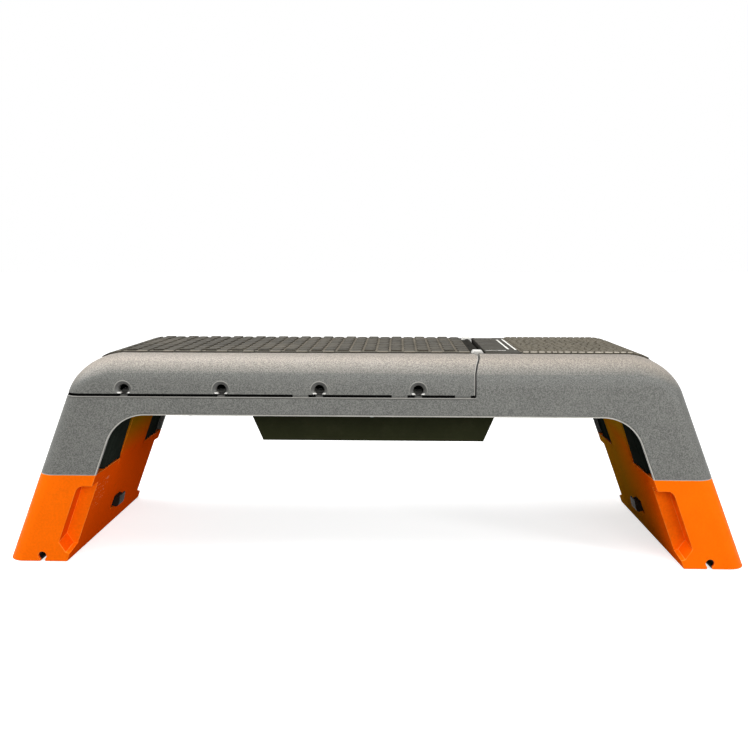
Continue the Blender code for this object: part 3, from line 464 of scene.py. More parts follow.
def grey_shell():
    """Moulded grey with a speckled grain, a painted highlight where it faces up, and painted shade where it
    leans a little and round the hinge.
    """
    base = (0.116, 0.117, 0.107)
    look = Look("grey_shell_grain")
    cloud = look.clouded(base, 0.93, 1.07, 0.09)
    upward = look.facing()[2]
    # painted shade: faces that lean only a little upward, under the top highlight, are darkened
    painted_lean_shade = look.product(look.spread(upward, 0.08, 0.20), look.spread(upward, 0.52, 0.40))
    cloud = look.mix(painted_lean_shade, cloud, scaled(base, 0.88))
    # painted highlight: faces that turn upward get a warm pale band for the overhead lamp's sheen, a little
    # less pale where they face straight up
    painted_top_highlight = look.mix(look.spread(upward, 0.40, 0.82), cloud, (0.225, 0.199, 0.168))
    painted_top_highlight = look.mix(look.spread(upward, 0.88, 1.0), painted_top_highlight, (0.175, 0.156, 0.133))
    grain = look.spread(look.noise(0.0016, 0.0), 0.28, 0.72, 0.64, 1.36)
    tone = look.shaded(painted_top_highlight, grain)
    rubbed = look.spread(look.noise(0.16, 6.0, 0.6), 0.60, 0.82, 0.0, 0.22)
    tone = look.mix(rubbed, tone, (0.34, 0.32, 0.28))
    between, clear = parting_gap(look)
    tone = with_lip(look, with_keyholes(look, with_seam(look, tone)), between, clear)
    # painted shade: the hinge trough and the shell round it are painted nearly black, without sheen
    painted_hinge_shade = look.product(
        look.inside(look.x, LID_TREAD_END - BITE, SEAT_TREAD_START + BITE),
        look.inside(look.maths("ABSOLUTE", look.y), 0.0, TREAD_HALF),
        look.inside(look.z, TROUGH_Z - BITE, HEIGHT))
    look.colour(look.mix(painted_hinge_shade, tone, (0.024, 0.023, 0.020)))
    look.specular(look.spread(look.maths("MAXIMUM", painted_hinge_shade, clear), 0.0, 1.0, 0.40, 0.0))
    look.roughness(0.44, 0.58, 0.03)
    look.relief((look.noise(0.0013, 1.0, 0.6), 0.00030), (look.noise(0.006, 2.0, 0.5), 0.00006))
    return look.material


def orange_leg():
    """Bright moulded orange with painted shade on the inner faces, painted shade and greenish bounce light
    up the stems, and a few scratches.
    """
    base = (0.900, 0.142, 0.0010)
    look = Look("orange_moulding")
    cloud = look.clouded(base, 0.95, 1.05, 0.07)
    sign = look.maths("SIGN", look.x)
    on_right = look.spread(sign, 0.0, 1.0)
    inward = look.spread(look.product(look.facing()[0], sign), -0.55, -0.85)
    # painted shade: the inner faces get deeper copies of the orange, a lighter one on the right leg
    tone = look.mix(inward, cloud, look.mix(on_right, (0.860, 0.084, 0.0010), (0.980, 0.118, 0.0010)))
    # painted shade with greenish bounce light: mustard up the stems, and along the right leg's inner face
    # towards the far side
    painted_far_shade = look.product(look.spread(look.y, *MUSTARD_Y, 0.0, 0.8), on_right, inward)
    stem = look.maths("MAXIMUM", look.spread(look.z, *MUSTARD_Z, 0.0, 0.95), painted_far_shade)
    tone = look.mix(stem, tone, look.mix(on_right, (0.330, 0.170, 0.003), (0.540, 0.283, 0.010)))
    soil = look.spread(look.noise(0.045, 6.0, 0.68), 0.58, 0.76, 0.0, 0.22)
    tone = look.mix(soil, tone, (0.300, 0.050, 0.004))
    streaks = look.noise(0.010, 2.0, 0.5, look.stretched((1.0, 0.16, 9.0), (0.9, 0.35, 0.2)))
    scuffed = look.inside(look.y, *SCUFF_Y, 0.008)
    patch = look.product(scuffed, look.inside(look.z, *SCUFF_Z, 0.01))
    broken = look.spread(look.noise(0.006, 1.0), 0.50, 0.58)
    scratches = look.spread(streaks, 0.60, 0.64, 0.0, 0.7)
    marks = look.product(scratches, broken, inward, patch, look.spread(sign, 0.0, -1.0))
    tone = look.mix(marks, tone, (0.86, 0.50, 0.28))
    look.colour(look.shaded(tone, look.spread(look.noise(0.004, 2.0, 0.6), 0.3, 0.7, 0.94, 1.06)))
    look.specular(look.spread(look.maths("MAXIMUM", inward, stem), 0.0, 0.5, 0.03, 0.0))
    look.roughness(0.40, 0.55, 0.02)
    look.relief((look.noise(0.004, 2.0, 0.5), 0.00010), (look.noise(0.0012, 2.0), 0.00006))
    return look.material


def orange_edge():
    """Painted highlight: paler orange along the moulding's rounded edges."""
    look = Look("orange_edge_highlight", specular=0.05)
    # the painted highlight varies at random along the edges
    worn = look.spread(look.noise(0.02, 4.0), 0.35, 0.65)
    look.colour(look.mix(worn, (0.900, 0.170, 0.006), (0.950, 0.290, 0.040)))
    look.roughness(0.40, 0.55, 0.02)
    look.relief((look.noise(0.0012, 2.0), 0.00006),)
    return look.material


def tread_top(name, base, edge):
    """Dusty dark rubber on the raised nodules, whose outer row is paler at its crest."""
    look = Look(name, specular=0.15)
    cloud = look.clouded(base, 0.78, 1.25, 0.06, 5.0, 0.6)
    fleck = look.mix(look.flecks(0.003, 0.5), cloud, scaled(base, 1.8))
    dust = look.spread(look.noise(0.11, 6.0, 0.6), 0.45, 0.75, 0.0, 0.35)
    tone = look.mix(dust, fleck, (0.120, 0.105, 0.080))
    aside = look.maths("ABSOLUTE", look.y)
    outermost = look.spread(aside, TREAD_HALF - EDGE_ROW, TREAD_HALF - EDGE_ROW / 2)
    crest = look.spread(look.z, SHELL_TOP + CREST_RISE, SHELL_TOP + CREST_RISE + STEP)
    tone = look.mix(look.product(outermost, crest), tone, edge)
    look.colour(tone)
    look.roughness(0.60, 0.80, 0.012)
    look.relief((look.noise(0.0018, 2.0, 0.6), 0.00020), (look.noise(0.007, 2.0, 0.5), 0.00022))
    return look.material


def tread_groove():
    """Dust that has settled between the nodules, and a paler line round the short columns' ends."""
    base = (0.125, 0.110, 0.086)
    look = Look("tread_groove_dust", specular=0.10)
    cloud = look.clouded(base, 0.60, 1.20, 0.05, 5.0)
    tone = look.mix(look.flecks(0.0025, 0.5), cloud, scaled(base, 0.6))
    beyond = look.spread(look.y, -SHORT_COLUMN_END - STEP, -SHORT_COLUMN_END - EDGE_ROW)
    tone = look.mix(beyond, tone, (0.030, 0.027, 0.021))
    end = look.inside(look.y, -SHORT_COLUMN_END - NODULE_GROOVE, -SHORT_COLUMN_END + BITE)
    look.colour(look.mix(end, tone, (0.210, 0.190, 0.155)))
    look.roughness(0.80, 0.95)
    look.relief((look.noise(0.0015, 2.0, 0.6), 0.00025),)
    return look.material


def worn_plastic(name, base, worn, rough, amount=0.4, specular=0.3):
    """Plain moulded plastic with clouding, dull patches and fine grain."""
    look = Look(name, specular=specular)
    cloud = look.clouded(base, 0.85, 1.15, 0.04)
    patch = look.spread(look.noise(0.03, 6.0, 0.65), 0.50, 0.76, 0.0, amount)
    tone = look.mix(patch, cloud, worn)
    look.colour(look.mix(look.flecks(0.002, 0.25), tone, scaled(base, 0.6)))
    look.roughness(rough - 0.07, rough + 0.09)
    look.relief((look.noise(0.0012, 2.0, 0.6), 0.00012),)
    return look.material


def zinc_steel():
    """Plated bar with a dull bloom and a little grime."""
    base = (0.560, 0.560, 0.550)
    look = Look("zinc_plated_steel", metallic=1.0)
    bloom = look.clouded(base, 0.80, 1.15, 0.012, 5.0)
    grime = look.spread(look.noise(0.02, 6.0, 0.65), 0.58, 0.78, 0.0, 0.6)
    look.colour(look.mix(grime, bloom, (0.16, 0.13, 0.10)))
    look.roughness(0.24, 0.42, 0.006)
    look.relief((look.noise(0.0009, 2.0), 0.00004),)
    return look.material


MATERIALS = {
    "grey_shell": grey_shell(),
    # painted highlight: a paler grey for the light caught on the lips' edges
    "rim_highlight": worn_plastic("shell_rim_highlight", (0.400, 0.390, 0.355), (0.26, 0.25, 0.22), 0.50, 0.5),
    "orange_leg": orange_leg(),
    "orange_edge": orange_edge(),
    "tread_top": tread_top("tread_nodule_rubber", (0.031, 0.028, 0.022), (0.150, 0.135, 0.108)),
    "seat_top": tread_top("seat_pebble_rubber", (0.066, 0.058, 0.043), (0.340, 0.310, 0.260)),
    "tread_groove": tread_groove(),
    "plate": worn_plastic("plate_dark", (0.040, 0.037, 0.030), (0.11, 0.100, 0.08), 0.60, 0.4, 0.04),
    "plate_line": worn_plastic("plate_line", (0.62, 0.61, 0.57), (0.24, 0.21, 0.16), 0.50, 0.5),
    # painted highlight: the hinge caps' pale grey stands for the light caught by their upward faces
    "light_grey": worn_plastic("hinge_cap_highlight_grey", (0.52, 0.51, 0.48), (0.22, 0.20, 0.16), 0.45, 0.4),
    "olive_tray": worn_plastic(
        "tray_olive", (0.019, 0.021, 0.0085), (0.046, 0.045, 0.024), 0.50, 0.3, 0.03),
    "well_liner": worn_plastic(
        "well_green_grey", (0.019, 0.024, 0.019), (0.046, 0.052, 0.043), 0.46, 0.4, 0.0),
    "black_plastic": worn_plastic(
        "catch_black", (0.013, 0.010, 0.008), (0.040, 0.033, 0.027), 0.42, 0.4, 0.03),
    "steel": zinc_steel(),
    "rubber_pad": worn_plastic("pad_rubber", (0.026, 0.026, 0.025), (0.12, 0.10, 0.08), 0.80, 0.6),
}


def to_object(name, mesh, look=None):
    bmesh.ops.recalc_face_normals(mesh, faces=mesh.faces)
    data = bpy.data.meshes.new(name)
    mesh.to_mesh(data)
    mesh.free()
    made = bpy.data.objects.new(name, data)
    bpy.context.scene.collection.objects.link(made)
    if look:
        data.materials.append(MATERIALS[look])
    return made


def loft(first, low, second, high):
    """Join one XZ outline at a low Y to another of as many points at a high Y."""
    mesh = bmesh.new()
    near = [mesh.verts.new((x, low, z)) for x, z in first]
    far = [mesh.verts.new((x, high, z)) for x, z in second]
    mesh.faces.new(near)
    mesh.faces.new(list(reversed(far)))
    bridge(mesh, [near, far])
    return mesh


def bridge(mesh, rings):
    for a, b in zip(rings, rings[1:]):
        for i in range(len(a)):
            j = (i + 1) % len(a)
            mesh.faces.new((a[j], a[i], b[i], b[j]))


def prism(outline, low, high):
    """Extrude an XZ outline along Y."""
    return loft(outline, low, outline, high)


def block(x, y, z):
    return prism(((x[0], z[0]), (x[1], z[0]), (x[1], z[1]), (x[0], z[1])), y[0], y[1])


def circle(centre, radius, sides=ROUND_SIDES, start=0.0, sweep=math.tau):
    count = sides if sweep == math.tau else sides + 1
    points = []
    for i in range(count):
        angle = start + sweep * i / sides
        points.append((centre[0] + radius * math.cos(angle), centre[1] + radius * math.sin(angle)))
    return points


def bar(centre, radius, low, high):
    """A round bar along Y."""
    return prism(circle(centre, radius), low, high)


def span(side, first, second):
    return sorted((side * first, side * second))


def mirrored(outline, side):
    return [(side * x, z) for x, z in outline]


def bake(made):
    """Turn an object's modifiers into its mesh."""
    graph = bpy.context.evaluated_depsgraph_get()
    made.data = bpy.data.meshes.new_from_object(made.evaluated_get(graph))
    made.modifiers.clear()


def combine(target, operation, tools):
    """Cut, join or intersect with a row of closed meshes."""
    helpers = [tool if isinstance(tool, bpy.types.Object) else to_object("tool", tool) for tool in tools]
    for helper in helpers:
        step = target.modifiers.new("step", "BOOLEAN")
        step.operation = operation
        step.solver = "EXACT"
        step.object = helper
    bpy.context.view_layer.update()
    bake(target)
    for helper in helpers:
        bpy.data.objects.remove(helper, do_unlink=True)


def cut(target, *tools):
    combine(target, "DIFFERENCE", tools)


def add(target, *tools):
    combine(target, "UNION", tools)


def keep(target, *tools):
    combine(target, "INTERSECT", tools)


def soften(made, width, segments=2, edge_look=None):
    """Round the hard edges, with a look of their own if asked, and even out the shading."""
    mesh = bmesh.new()
    mesh.from_mesh(made.data)
    bmesh.ops.remove_doubles(mesh, verts=mesh.verts, dist=WELD)
    bmesh.ops.dissolve_limit(mesh, angle_limit=FLAT, verts=mesh.verts, edges=mesh.edges)
    mesh.to_mesh(made.data)
    mesh.free()
    edge = made.modifiers.new("edge", "BEVEL")
    edge.width = width
    edge.segments = segments
    edge.limit_method = "ANGLE"
    edge.angle_limit = SHARP
    edge.use_clamp_overlap = True
    if edge_look:
        made.data.materials.append(MATERIALS[edge_look])
        edge.material = len(made.data.materials) - 1
    bake(made)
    made.data.shade_smooth()
    made.data.set_sharp_from_angle(angle=SHARP)
    weights = made.modifiers.new("normals", "WEIGHTED_NORMAL")
    weights.keep_sharp = True
    weights.weight = 60


def tint(made, look, within):
    """Give a look to the faces whose corners all lie within a region."""
    made.data.materials.append(MATERIALS[look])
    index = len(made.data.materials) - 1
    held = [within(*vert.co) for vert in made.data.vertices]
    for face in made.data.polygons:
        if all(held[i] for i in face.vertices):
            face.material_index = index


def dress(made, body, slot, *nodes):
    """Let a piece ride on its body and stand for its nodes."""
    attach(made, body)
    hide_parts(*nodes)


def outer_line(z, inset=0.0):
    """X of the raked outer face at a height."""
    return FOOT_REACH - inset / math.cos(OUTER_RAKE) - z * math.tan(OUTER_RAKE)


def inner_line(z, depth=0.0):
    """X of the raked inner face at a height, or of a face that lies some depth behind it."""
    return FOOT_INNER + depth / math.cos(INNER_RAKE) - z * math.tan(INNER_RAKE)


def edge_radius(angle, inset):
    """Edge rounding: tight down the legs, generous along the top."""
    share = (angle - OUTER_RAKE) / (math.pi / 2 - OUTER_RAKE)
    share = share * share * (3 - 2 * share)
    return EDGE_RADIUS_LEG + (EDGE_RADIUS_TOP - EDGE_RADIUS_LEG) * share - inset


def end_centre():
    z = SHELL_TOP - END_RADIUS
    return outer_line(z, END_RADIUS), z


def across(angle, inset, low=None):
    """One ring of points over the shell from the far side to the near side."""
    centre_x, centre_z = end_centre()
    radius = edge_radius(angle, inset)
    points = []
    for i in range(EDGE_STEPS + 1):
        turn = math.pi / 2 * i / EDGE_STEPS
        depth = inset + radius * (1 - math.sin(turn))
        y = HALF - inset - radius * (1 - math.cos(turn))
        if low is None:
            reach = END_RADIUS - depth
            points.append((centre_x + reach * math.cos(angle), y, centre_z + reach * math.sin(angle)))
        else:
            points.append((outer_line(low, depth), y, low))
    return points + [(x, -y, z) for x, y, z in reversed(points)]


def shell_solid(inset, low):
    """The closed outer form of the deck and its leg sockets, down to a height."""
    rings = [across(OUTER_RAKE, inset, low)]
    for i in range(ARC_STEPS + 1):
        rings.append(across(OUTER_RAKE + (math.pi / 2 - OUTER_RAKE) * i / ARC_STEPS, inset))
    rings += [[(-x, y, z) for x, y, z in ring] for ring in reversed(rings)]
    mesh = bmesh.new()
    grid = [[mesh.verts.new(point) for point in ring] for ring in rings]
    last = len(grid[0]) - 1
    for a, b in zip(grid, grid[1:]):
        for i in range(last):
            mesh.faces.new((a[i], a[i + 1], b[i + 1], b[i]))
    mesh.faces.new([ring[0] for ring in grid])
    mesh.faces.new([ring[last] for ring in reversed(grid)])
    mesh.faces.new(grid[0] + list(reversed(grid[-1])))
    return mesh


def seam_line(offset, lean):
    """The seam's profile from its bend up to a height over the deck."""
    start = SEAM_X - offset
    return [
        (start + SEAM_BEND[0], SEAM_BEND[1]), (start + SEAM_KINK[0], SEAM_KINK[1]),
        (start + lean, SEAM_CREST_Z), (start + lean + SEAM_CREST_RUN, ABOVE),
    ]


def arch_centre():
    run = ARCH_RADIUS * math.tan((math.pi / 2 - INNER_RAKE) / 2)
    return inner_line(SKIRT_Z) - run, SKIRT_Z - ARCH_RADIUS


def arch_outline(grow=0.0):
    """Open space under the skirt between the two sockets."""
    low = SOCKET_Z - PAST
    turn = math.pi / 2 - INNER_RAKE
    arc = circle(arch_centre(), ARCH_RADIUS + grow, ARCH_STEPS, INNER_RAKE, turn)
    right = [(inner_line(low, grow), low)] + arc
    return right + [(-x, z) for x, z in reversed(right)]


def arch_distance(x, z):
    """How far a place lies behind the arch's edge."""
    centre_x, centre_z = arch_centre()
    reach = abs(x)
    if z < centre_z + ARCH_RADIUS * math.sin(INNER_RAKE):
        return (reach - inner_line(z)) * math.cos(INNER_RAKE)
    if reach < centre_x:
        return z - SKIRT_Z
    return math.hypot(reach - centre_x, z - centre_z) - ARCH_RADIUS


def skin_depth(x, y, z):
    """How far a place lies under the upright part of the outer skin."""
    across_x = (outer_line(z) - abs(x)) * math.cos(OUTER_RAKE)
    across_y = HALF - abs(y)
    if across_x < EDGE_RADIUS_LEG and across_y < EDGE_RADIUS_LEG:
        return EDGE_RADIUS_LEG - math.hypot(EDGE_RADIUS_LEG - across_x, EDGE_RADIUS_LEG - across_y)
    return min(across_x, across_y)


def on_lip(x, y, z):
    """Lips of the deck along the arch and at the sockets' ends."""
    if skin_depth(x, y, z) > RIM_DEPTH:
        return False
    at_arch = -STEP < arch_distance(x, z) < LIP + STEP and HALF - abs(y) < RIM_DEPTH
    return at_arch or z < SOCKET_Z + RIM_DEPTH


def lip_grooves():
    """Shallow grooves that set off the lips of the deck."""
    low = PARTING_Z - LIP - GROOVE
    under_lid = to_object("groove", block((-BEYOND, SEAM_X), ACROSS, (low, PARTING_Z - LIP)))
    cut(under_lid, shell_solid(GROOVE_DEPTH, SOCKET_Z))
    grooves = [under_lid]
    for side in (-1, 1):
        reach = span(side, HALF - GROOVE_DEPTH, WIDTH)
        groove = to_object("groove", prism(arch_outline(LIP + GROOVE), *reach))
        cut(groove, prism(arch_outline(LIP), *ACROSS))
        grooves.append(groove)
    return grooves


def deck_cross_walls():
    """Bulkhead beside the seam and the block that the hinge trough is cut into."""
    bulkhead = to_object("bulkhead", shell_solid(FRAME_WALL / 2, SOCKET_Z))
    keep(bulkhead, block((SEAM_X, SEAM_X + FRAME_WALL), ACROSS, (BULKHEAD_LOW, TROUGH_Z - BITE)))
    half = TROUGH_HALF + TROUGH_WALL
    trough = block((SEAM_X + GAP, TROUGH_END + TROUGH_WALL), (-half, half),
                   (TROUGH_Z - FRAME_WALL, SHELL_TOP - TROUGH_LIP))
    return bulkhead, trough


def tube_rests():
    """A low tongue under each keyhole and a saddle behind it that rises inwards."""
    rests = []
    for x in KEYS:
        tongue = [(x + run, PARTING_Z + rise) for run, rise in TONGUE]
        tongue = [(tongue[0][0], PARTING_Z - BITE)] + tongue + [(tongue[-1][0], PARTING_Z - BITE)]
        wide = (x - SADDLE_HALF, x + SADDLE_HALF)
        inner = (wide[0] + STEP, wide[1] - STEP)
        low = PARTING_Z - LID_WALL
        for side in (-1, 1):
            rests.append(prism(tongue, *span(side, HALF - FRAME_WALL + BITE, HALF - GAP)))
            rests.append(block(inner, span(side, SADDLE_SPAN[0] + STEP, HALF - FRAME_WALL + BITE / 2),
                               (low - BITE, PARTING_Z - GAP)))
            ends = sorted((side * y, top) for y, top in zip(SADDLE_SPAN, SADDLE_TOP))
            outlines = [((wide[0], low), (wide[1], low), (wide[1], top), (wide[0], top)) for y, top in ends]
            rests.append(loft(outlines[0], ends[0][0], outlines[1], ends[1][0]))
    return rests


def register_lip():
    """Rim of the deck that stands inside the closed backrest's edge, lower where it passes a keyhole."""
    inset = LID_WALL + GAP
    lip = to_object("register_lip", shell_solid(inset, SOCKET_Z))
    cut(lip, shell_solid(inset + REGISTER_WALL, SOCKET_Z - PAST))
    keep(lip, block((-BEYOND, REGISTER_END), ACROSS, (PARTING_Z - LID_WALL, REGISTER_TOP)))
    room = KEY_BOSS + BITE
    cut(lip, *[block((x - room, x + room), ACROSS, (REGISTER_LOW, ABOVE)) for x in KEYS])
    return lip


def ledges():
    """Rails along the inside of the deck that the tray is screwed to."""
    low = PAN_Z + PAN_THICK + GAP
    height = (low, low + LEDGE_THICK)
    return [block((-PAN_REACH, PAN_REACH), span(side, *LEDGE), height) for side in (-1, 1)]


def deck_moulding():
    made = to_object("deck_moulding", shell_solid(0.0, SOCKET_Z), "grey_shell")
    cut(made, shell_solid(FRAME_WALL, SOCKET_Z - PAST), prism(arch_outline(), *ACROSS))
    add(made, *deck_cross_walls())
    lid_space = [(-BEYOND, PARTING_Z), (SEAM_X, PARTING_Z)] + seam_line(0.0, DECK_LEAN) + [(-BEYOND, ABOVE)]
    cut(made, prism(lid_space, *ACROSS),
        block((SEAM_X - PAST, TROUGH_END), (-TROUGH_HALF, TROUGH_HALF), (TROUGH_Z, ABOVE)))
    foot = block((HINGE_X - KNUCKLE_FOOT, HINGE_X + KNUCKLE_FOOT),
                 (STEP - MIDDLE_KNUCKLE, MIDDLE_KNUCKLE - STEP), (TROUGH_Z - BITE, HINGE_Z))
    add(made, bar((HINGE_X, HINGE_Z), HINGE_BARREL, -MIDDLE_KNUCKLE, MIDDLE_KNUCKLE), foot)
    add(made, register_lip(), *ledges(), *tube_rests())
    cut(made, *lip_grooves())
    soften(made, SHELL_EDGE, 3)
    # painted highlight: the lips along the arch and at the sockets' ends take the paler rim grey
    tint(made, "rim_highlight", on_lip)
    dress(made, "deck", "grey_shell", "main_frame")


def keyhole(x, side):
    """Dish, hole and rounded rim of one tube slot."""
    mesh = bmesh.new()
    rings = []
    for radius, depth in KEY_PROFILE:
        ring = circle((x, KEY_Z), radius, KEY_SIDES)
        rings.append([mesh.verts.new((a, side * (HALF - depth), b)) for a, b in ring])
    bridge(mesh, rings)
    mesh.faces.new(rings[0])
    mesh.faces.new(list(reversed(rings[-1])))
    return mesh


def key_boss(x, side):
    """Thicker ring of the wall that the dish is sunk into."""
    return bar((x, KEY_Z), KEY_BOSS, *span(side, HALF - LID_WALL + BITE, HALF - KEY_BOSS_DEPTH))


def key_neck(x):
    return block((x - KEY_NECK / 2, x + KEY_NECK / 2), ACROSS, (PARTING_Z, KEY_Z))


def lug(x, side):
    """Foot under the backrest's edge that stands in the parting gap."""
    return block((x - LUG_LENGTH / 2, x + LUG_LENGTH / 2), span(side, HALF - BITE, HALF - LID_WALL + GAP),
                 (PARTING_Z + GAP, PARTING_Z + LUG_TOP))


def end_relief():
    """The corner beside the hinge that would meet the deck when the backrest is fully up."""
    start = GAP / math.cos(LIFT)
    rise = ABOVE - HINGE_Z
    reach = rise * math.tan(LIFT)
    return (
        (HINGE_X - start, HINGE_Z), (HINGE_X + reach, HINGE_Z), (HINGE_X + reach, ABOVE),
        (HINGE_X - start - reach, ABOVE),
    )


def lid_hinge(lid, side):
    """Knuckle on one side of the middle, with room for the cap and the deck's corner."""
    y = span(side, *KNUCKLE_SPAN)
    web = block((SEAM_X - SEAM_GAP - 2 * LID_WALL, HINGE_X), (y[0] + STEP, y[1] - STEP),
                (HINGE_Z - HINGE_BARREL + STEP, SHELL_TOP - STEP))
    add(lid, bar((HINGE_X, HINGE_Z), HINGE_BARREL, *y), web)
    room = BITE + STEP
    notch = span(side, CAP_SPAN[0] - room, CAP_SPAN[1] + room)
    cut(lid, block((HINGE_X - HINGE_CAP - room, HINGE_X + PAST), notch, (TROUGH_Z - BITE, ABOVE)),
        prism(end_relief(), *span(side, CAP_SPAN[1] + room, WIDTH)))


def backrest_moulding():
    made = to_object("backrest_moulding", shell_solid(0.0, SKIRT_Z), "grey_shell")
    inside = to_object("inside", shell_solid(LID_WALL, SKIRT_Z - PAST))
    cut(inside, block((SEAM_X - SEAM_GAP - LID_WALL, BEYOND), ACROSS, (SKIRT_Z - 2 * PAST, ABOVE)))
    low = SKIRT_Z - PAST
    start = SEAM_X - SEAM_GAP
    beyond_seam = [(start, low)] + seam_line(SEAM_GAP, LID_LEAN) + [(BEYOND, ABOVE), (BEYOND, low)]
    cut(made, inside, prism(beyond_seam, *ACROSS))
    places = [(x, side) for x in KEYS for side in (-1, 1)]
    add(made, *[key_boss(x, side) for x, side in places])
    cut(made, block((-BEYOND, BEYOND), ACROSS, (low, PARTING_Z + PARTING_GAP)))
    add(made, *[lug(x, side) for x in LUG_X for side in (-1, 1)])
    cut(made, *[keyhole(x, side) for x, side in places])
    cut(made, *[key_neck(x) for x in KEYS])
    for side in (-1, 1):
        lid_hinge(made, side)
    room = MIDDLE_KNUCKLE + STEP + GAP
    around_hinge = (HINGE_X - HINGE_BARREL - BITE, HINGE_X + PAST)
    cut(made, block(around_hinge, (-room, room), (TROUGH_Z - BITE, ABOVE)))
    soften(made, SHELL_EDGE, 3)
    dress(made, "backrest", "grey_shell", "backrest_shell")


def on_top(run, y, rise, side):
    """Point at a height over the shell, measured along its top and round its end."""
    centre_x, centre_z = end_centre()
    turn = max(0.0, run - centre_x) / END_RADIUS
    reach = END_RADIUS + rise
    x = min(run, centre_x) + reach * math.sin(turn)
    return side * x, y, centre_z + reach * math.cos(turn)


def tread_reach():
    return end_centre()[0] + END_RADIUS * TREAD_DROP


def half_width(run, inset):
    """Half the tread's width at a place along it, with its rounded end corners."""
    past = run - (tread_reach() - TREAD_CORNER)
    if past <= 0:
        return TREAD_HALF - inset
    radius = TREAD_CORNER - inset
    return TREAD_HALF - TREAD_CORNER + math.sqrt(max(0.0, radius * radius - past * past))


def mat_sheet(name, start, side, look):
    """Thin rubber sheet under the nodules."""
    mesh = bmesh.new()
    stops = [start + (tread_reach() - start) * i / MAT_STEPS for i in range(MAT_STEPS + 1)]
    rows = []
    for way, rise in ((-1, GAP), (1, GAP), (1, MAT_THICK), (-1, MAT_THICK)):
        rows.append([mesh.verts.new(on_top(run, way * half_width(run, 0.0), rise, side)) for run in stops])
    bridge(mesh, list(zip(*rows)))
    mesh.faces.new([row[0] for row in rows])
    mesh.faces.new([row[-1] for row in reversed(rows)])
    made = to_object(name, mesh, "tread_groove")
    made.data.materials.append(MATERIALS[look])
    return made


def nodule(mesh, centre, half, y_limits, side, power):
    """One raised pad with a rounded shoulder, kept inside the tread's edge."""
    rings = []
    for grow, rise in NODULE_RINGS:
        height = MAT_THICK - NODULE_SINK + (TREAD_RISE - MAT_THICK + NODULE_SINK) * rise
        ring = []
        for i in range(NODULE_SIDES):
            angle = math.tau * (i + 0.5) / NODULE_SIDES
            c, s = math.cos(angle), math.sin(angle)
            u = math.copysign(abs(c) ** (2 / power), c) * half[0] * grow
            v = math.copysign(abs(s) ** (2 / power), s) * (half[1] - (1 - grow) * half[0])
            run = min(centre[0] + u, tread_reach() - (1 - grow) * NODULE_SHOULDER)
            limit = half_width(run, (1 - grow) * NODULE_SHOULDER)
            y = max(max(y_limits[0], -limit), min(min(y_limits[1], limit), centre[1] + v))
            ring.append(mesh.verts.new(on_top(run, y, height, side)))
        rings.append(ring)
    bridge(mesh, rings)
    mesh.faces.new(list(reversed(rings[-1])))
    mesh.faces.new(rings[0])


def fused(made, extra):
    """Join a finished mesh onto an object, in its second material slot."""
    mesh = bmesh.new()
    mesh.from_mesh(made.data)
    bmesh.ops.recalc_face_normals(extra, faces=extra.faces)
    for face in extra.faces:
        face.material_index = 1
        face.smooth = True
    scratch = bpy.data.meshes.new("scratch")
    extra.to_mesh(scratch)
    extra.free()
    mesh.from_mesh(scratch)
    mesh.to_mesh(made.data)
    mesh.free()
    bpy.data.meshes.remove(scratch)
    made.data.set_sharp_from_angle(angle=PAD_SHARP)


def backrest_mat():
    """Tread of the backrest, in which every second column starts further in."""
    made = mat_sheet("backrest_mat", -LID_TREAD_END, -1, "tread_top")
    pads = bmesh.new()
    half = ((COLUMN_PITCH - COLUMN_GROOVE) / 2, (NODULE_PITCH - NODULE_GROOVE) / 2)
    run = -LID_TREAD_END + COLUMN_PITCH / 2
    short = False
    while run < tread_reach():
        near = -SHORT_COLUMN_END if short else -TREAD_HALF
        y = -TREAD_HALF + NODULE_PITCH * (NODULE_START[1] if short else NODULE_START[0])
        while y < TREAD_HALF + half[1] - half[0] / 2:
            if y + half[1] > near + half[0] / 2:
                nodule(pads, (run, y), half, (near, TREAD_HALF), -1, NODULE_POWER)
            y += NODULE_PITCH
        short = not short
        run += COLUMN_PITCH
    fused(made, pads)
    dress(made, "backrest", "rubber_tread", "backrest_tread")


def seat_mat():
    """Finer, pebbled tread on the seat end."""
    made = mat_sheet("seat_mat", SEAT_TREAD_START, 1, "seat_top")
    pads = bmesh.new()
    draw = random.Random(7)
    pitch_y = 2 * TREAD_HALF / PEBBLE_ROWS
    for row in range(PEBBLE_ROWS):
        y = -TREAD_HALF + pitch_y * (row + 0.5)
        run = SEAT_TREAD_START + (0.5 if row % 2 else 0.1) * PEBBLE_STAGGER
        while run < tread_reach():
            length = draw.uniform(*PEBBLE_LENGTHS)
            half = (length / 2 - PEBBLE_INSET[0], pitch_y / 2 - PEBBLE_INSET[1])
            place = (run + length / 2, y + draw.uniform(-PEBBLE_STRAY, PEBBLE_STRAY))
            end = place[0] + half[0]
            if end < tread_reach() and abs(y) < half_width(end, PEBBLE_EDGE):
                nodule(pads, place, half, (-TREAD_HALF, TREAD_HALF), 1, PEBBLE_POWER)
            run += length
    fused(made, pads)
    dress(made, "deck", "rubber_tread", "seat_tread")


def softened(node, name, look, width):
    """A node's own form with rounded edges."""
    made = bpy.data.objects.new(name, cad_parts[node].data.copy())
    bpy.context.scene.collection.objects.link(made)
    made.data.materials.clear()
    made.data.materials.append(MATERIALS[look])
    soften(made, width)
    return made


def bare_plate():
    """Blank framed plate behind the hinge."""
    made = softened("blank_plate", "bare_plate", "plate", 0.0003)
    tint(made, "plate_line", lambda x, y, z: z > SHELL_TOP + PLATE_TOP_RISE)
    dress(made, "deck", "rubber_tread", "blank_plate")


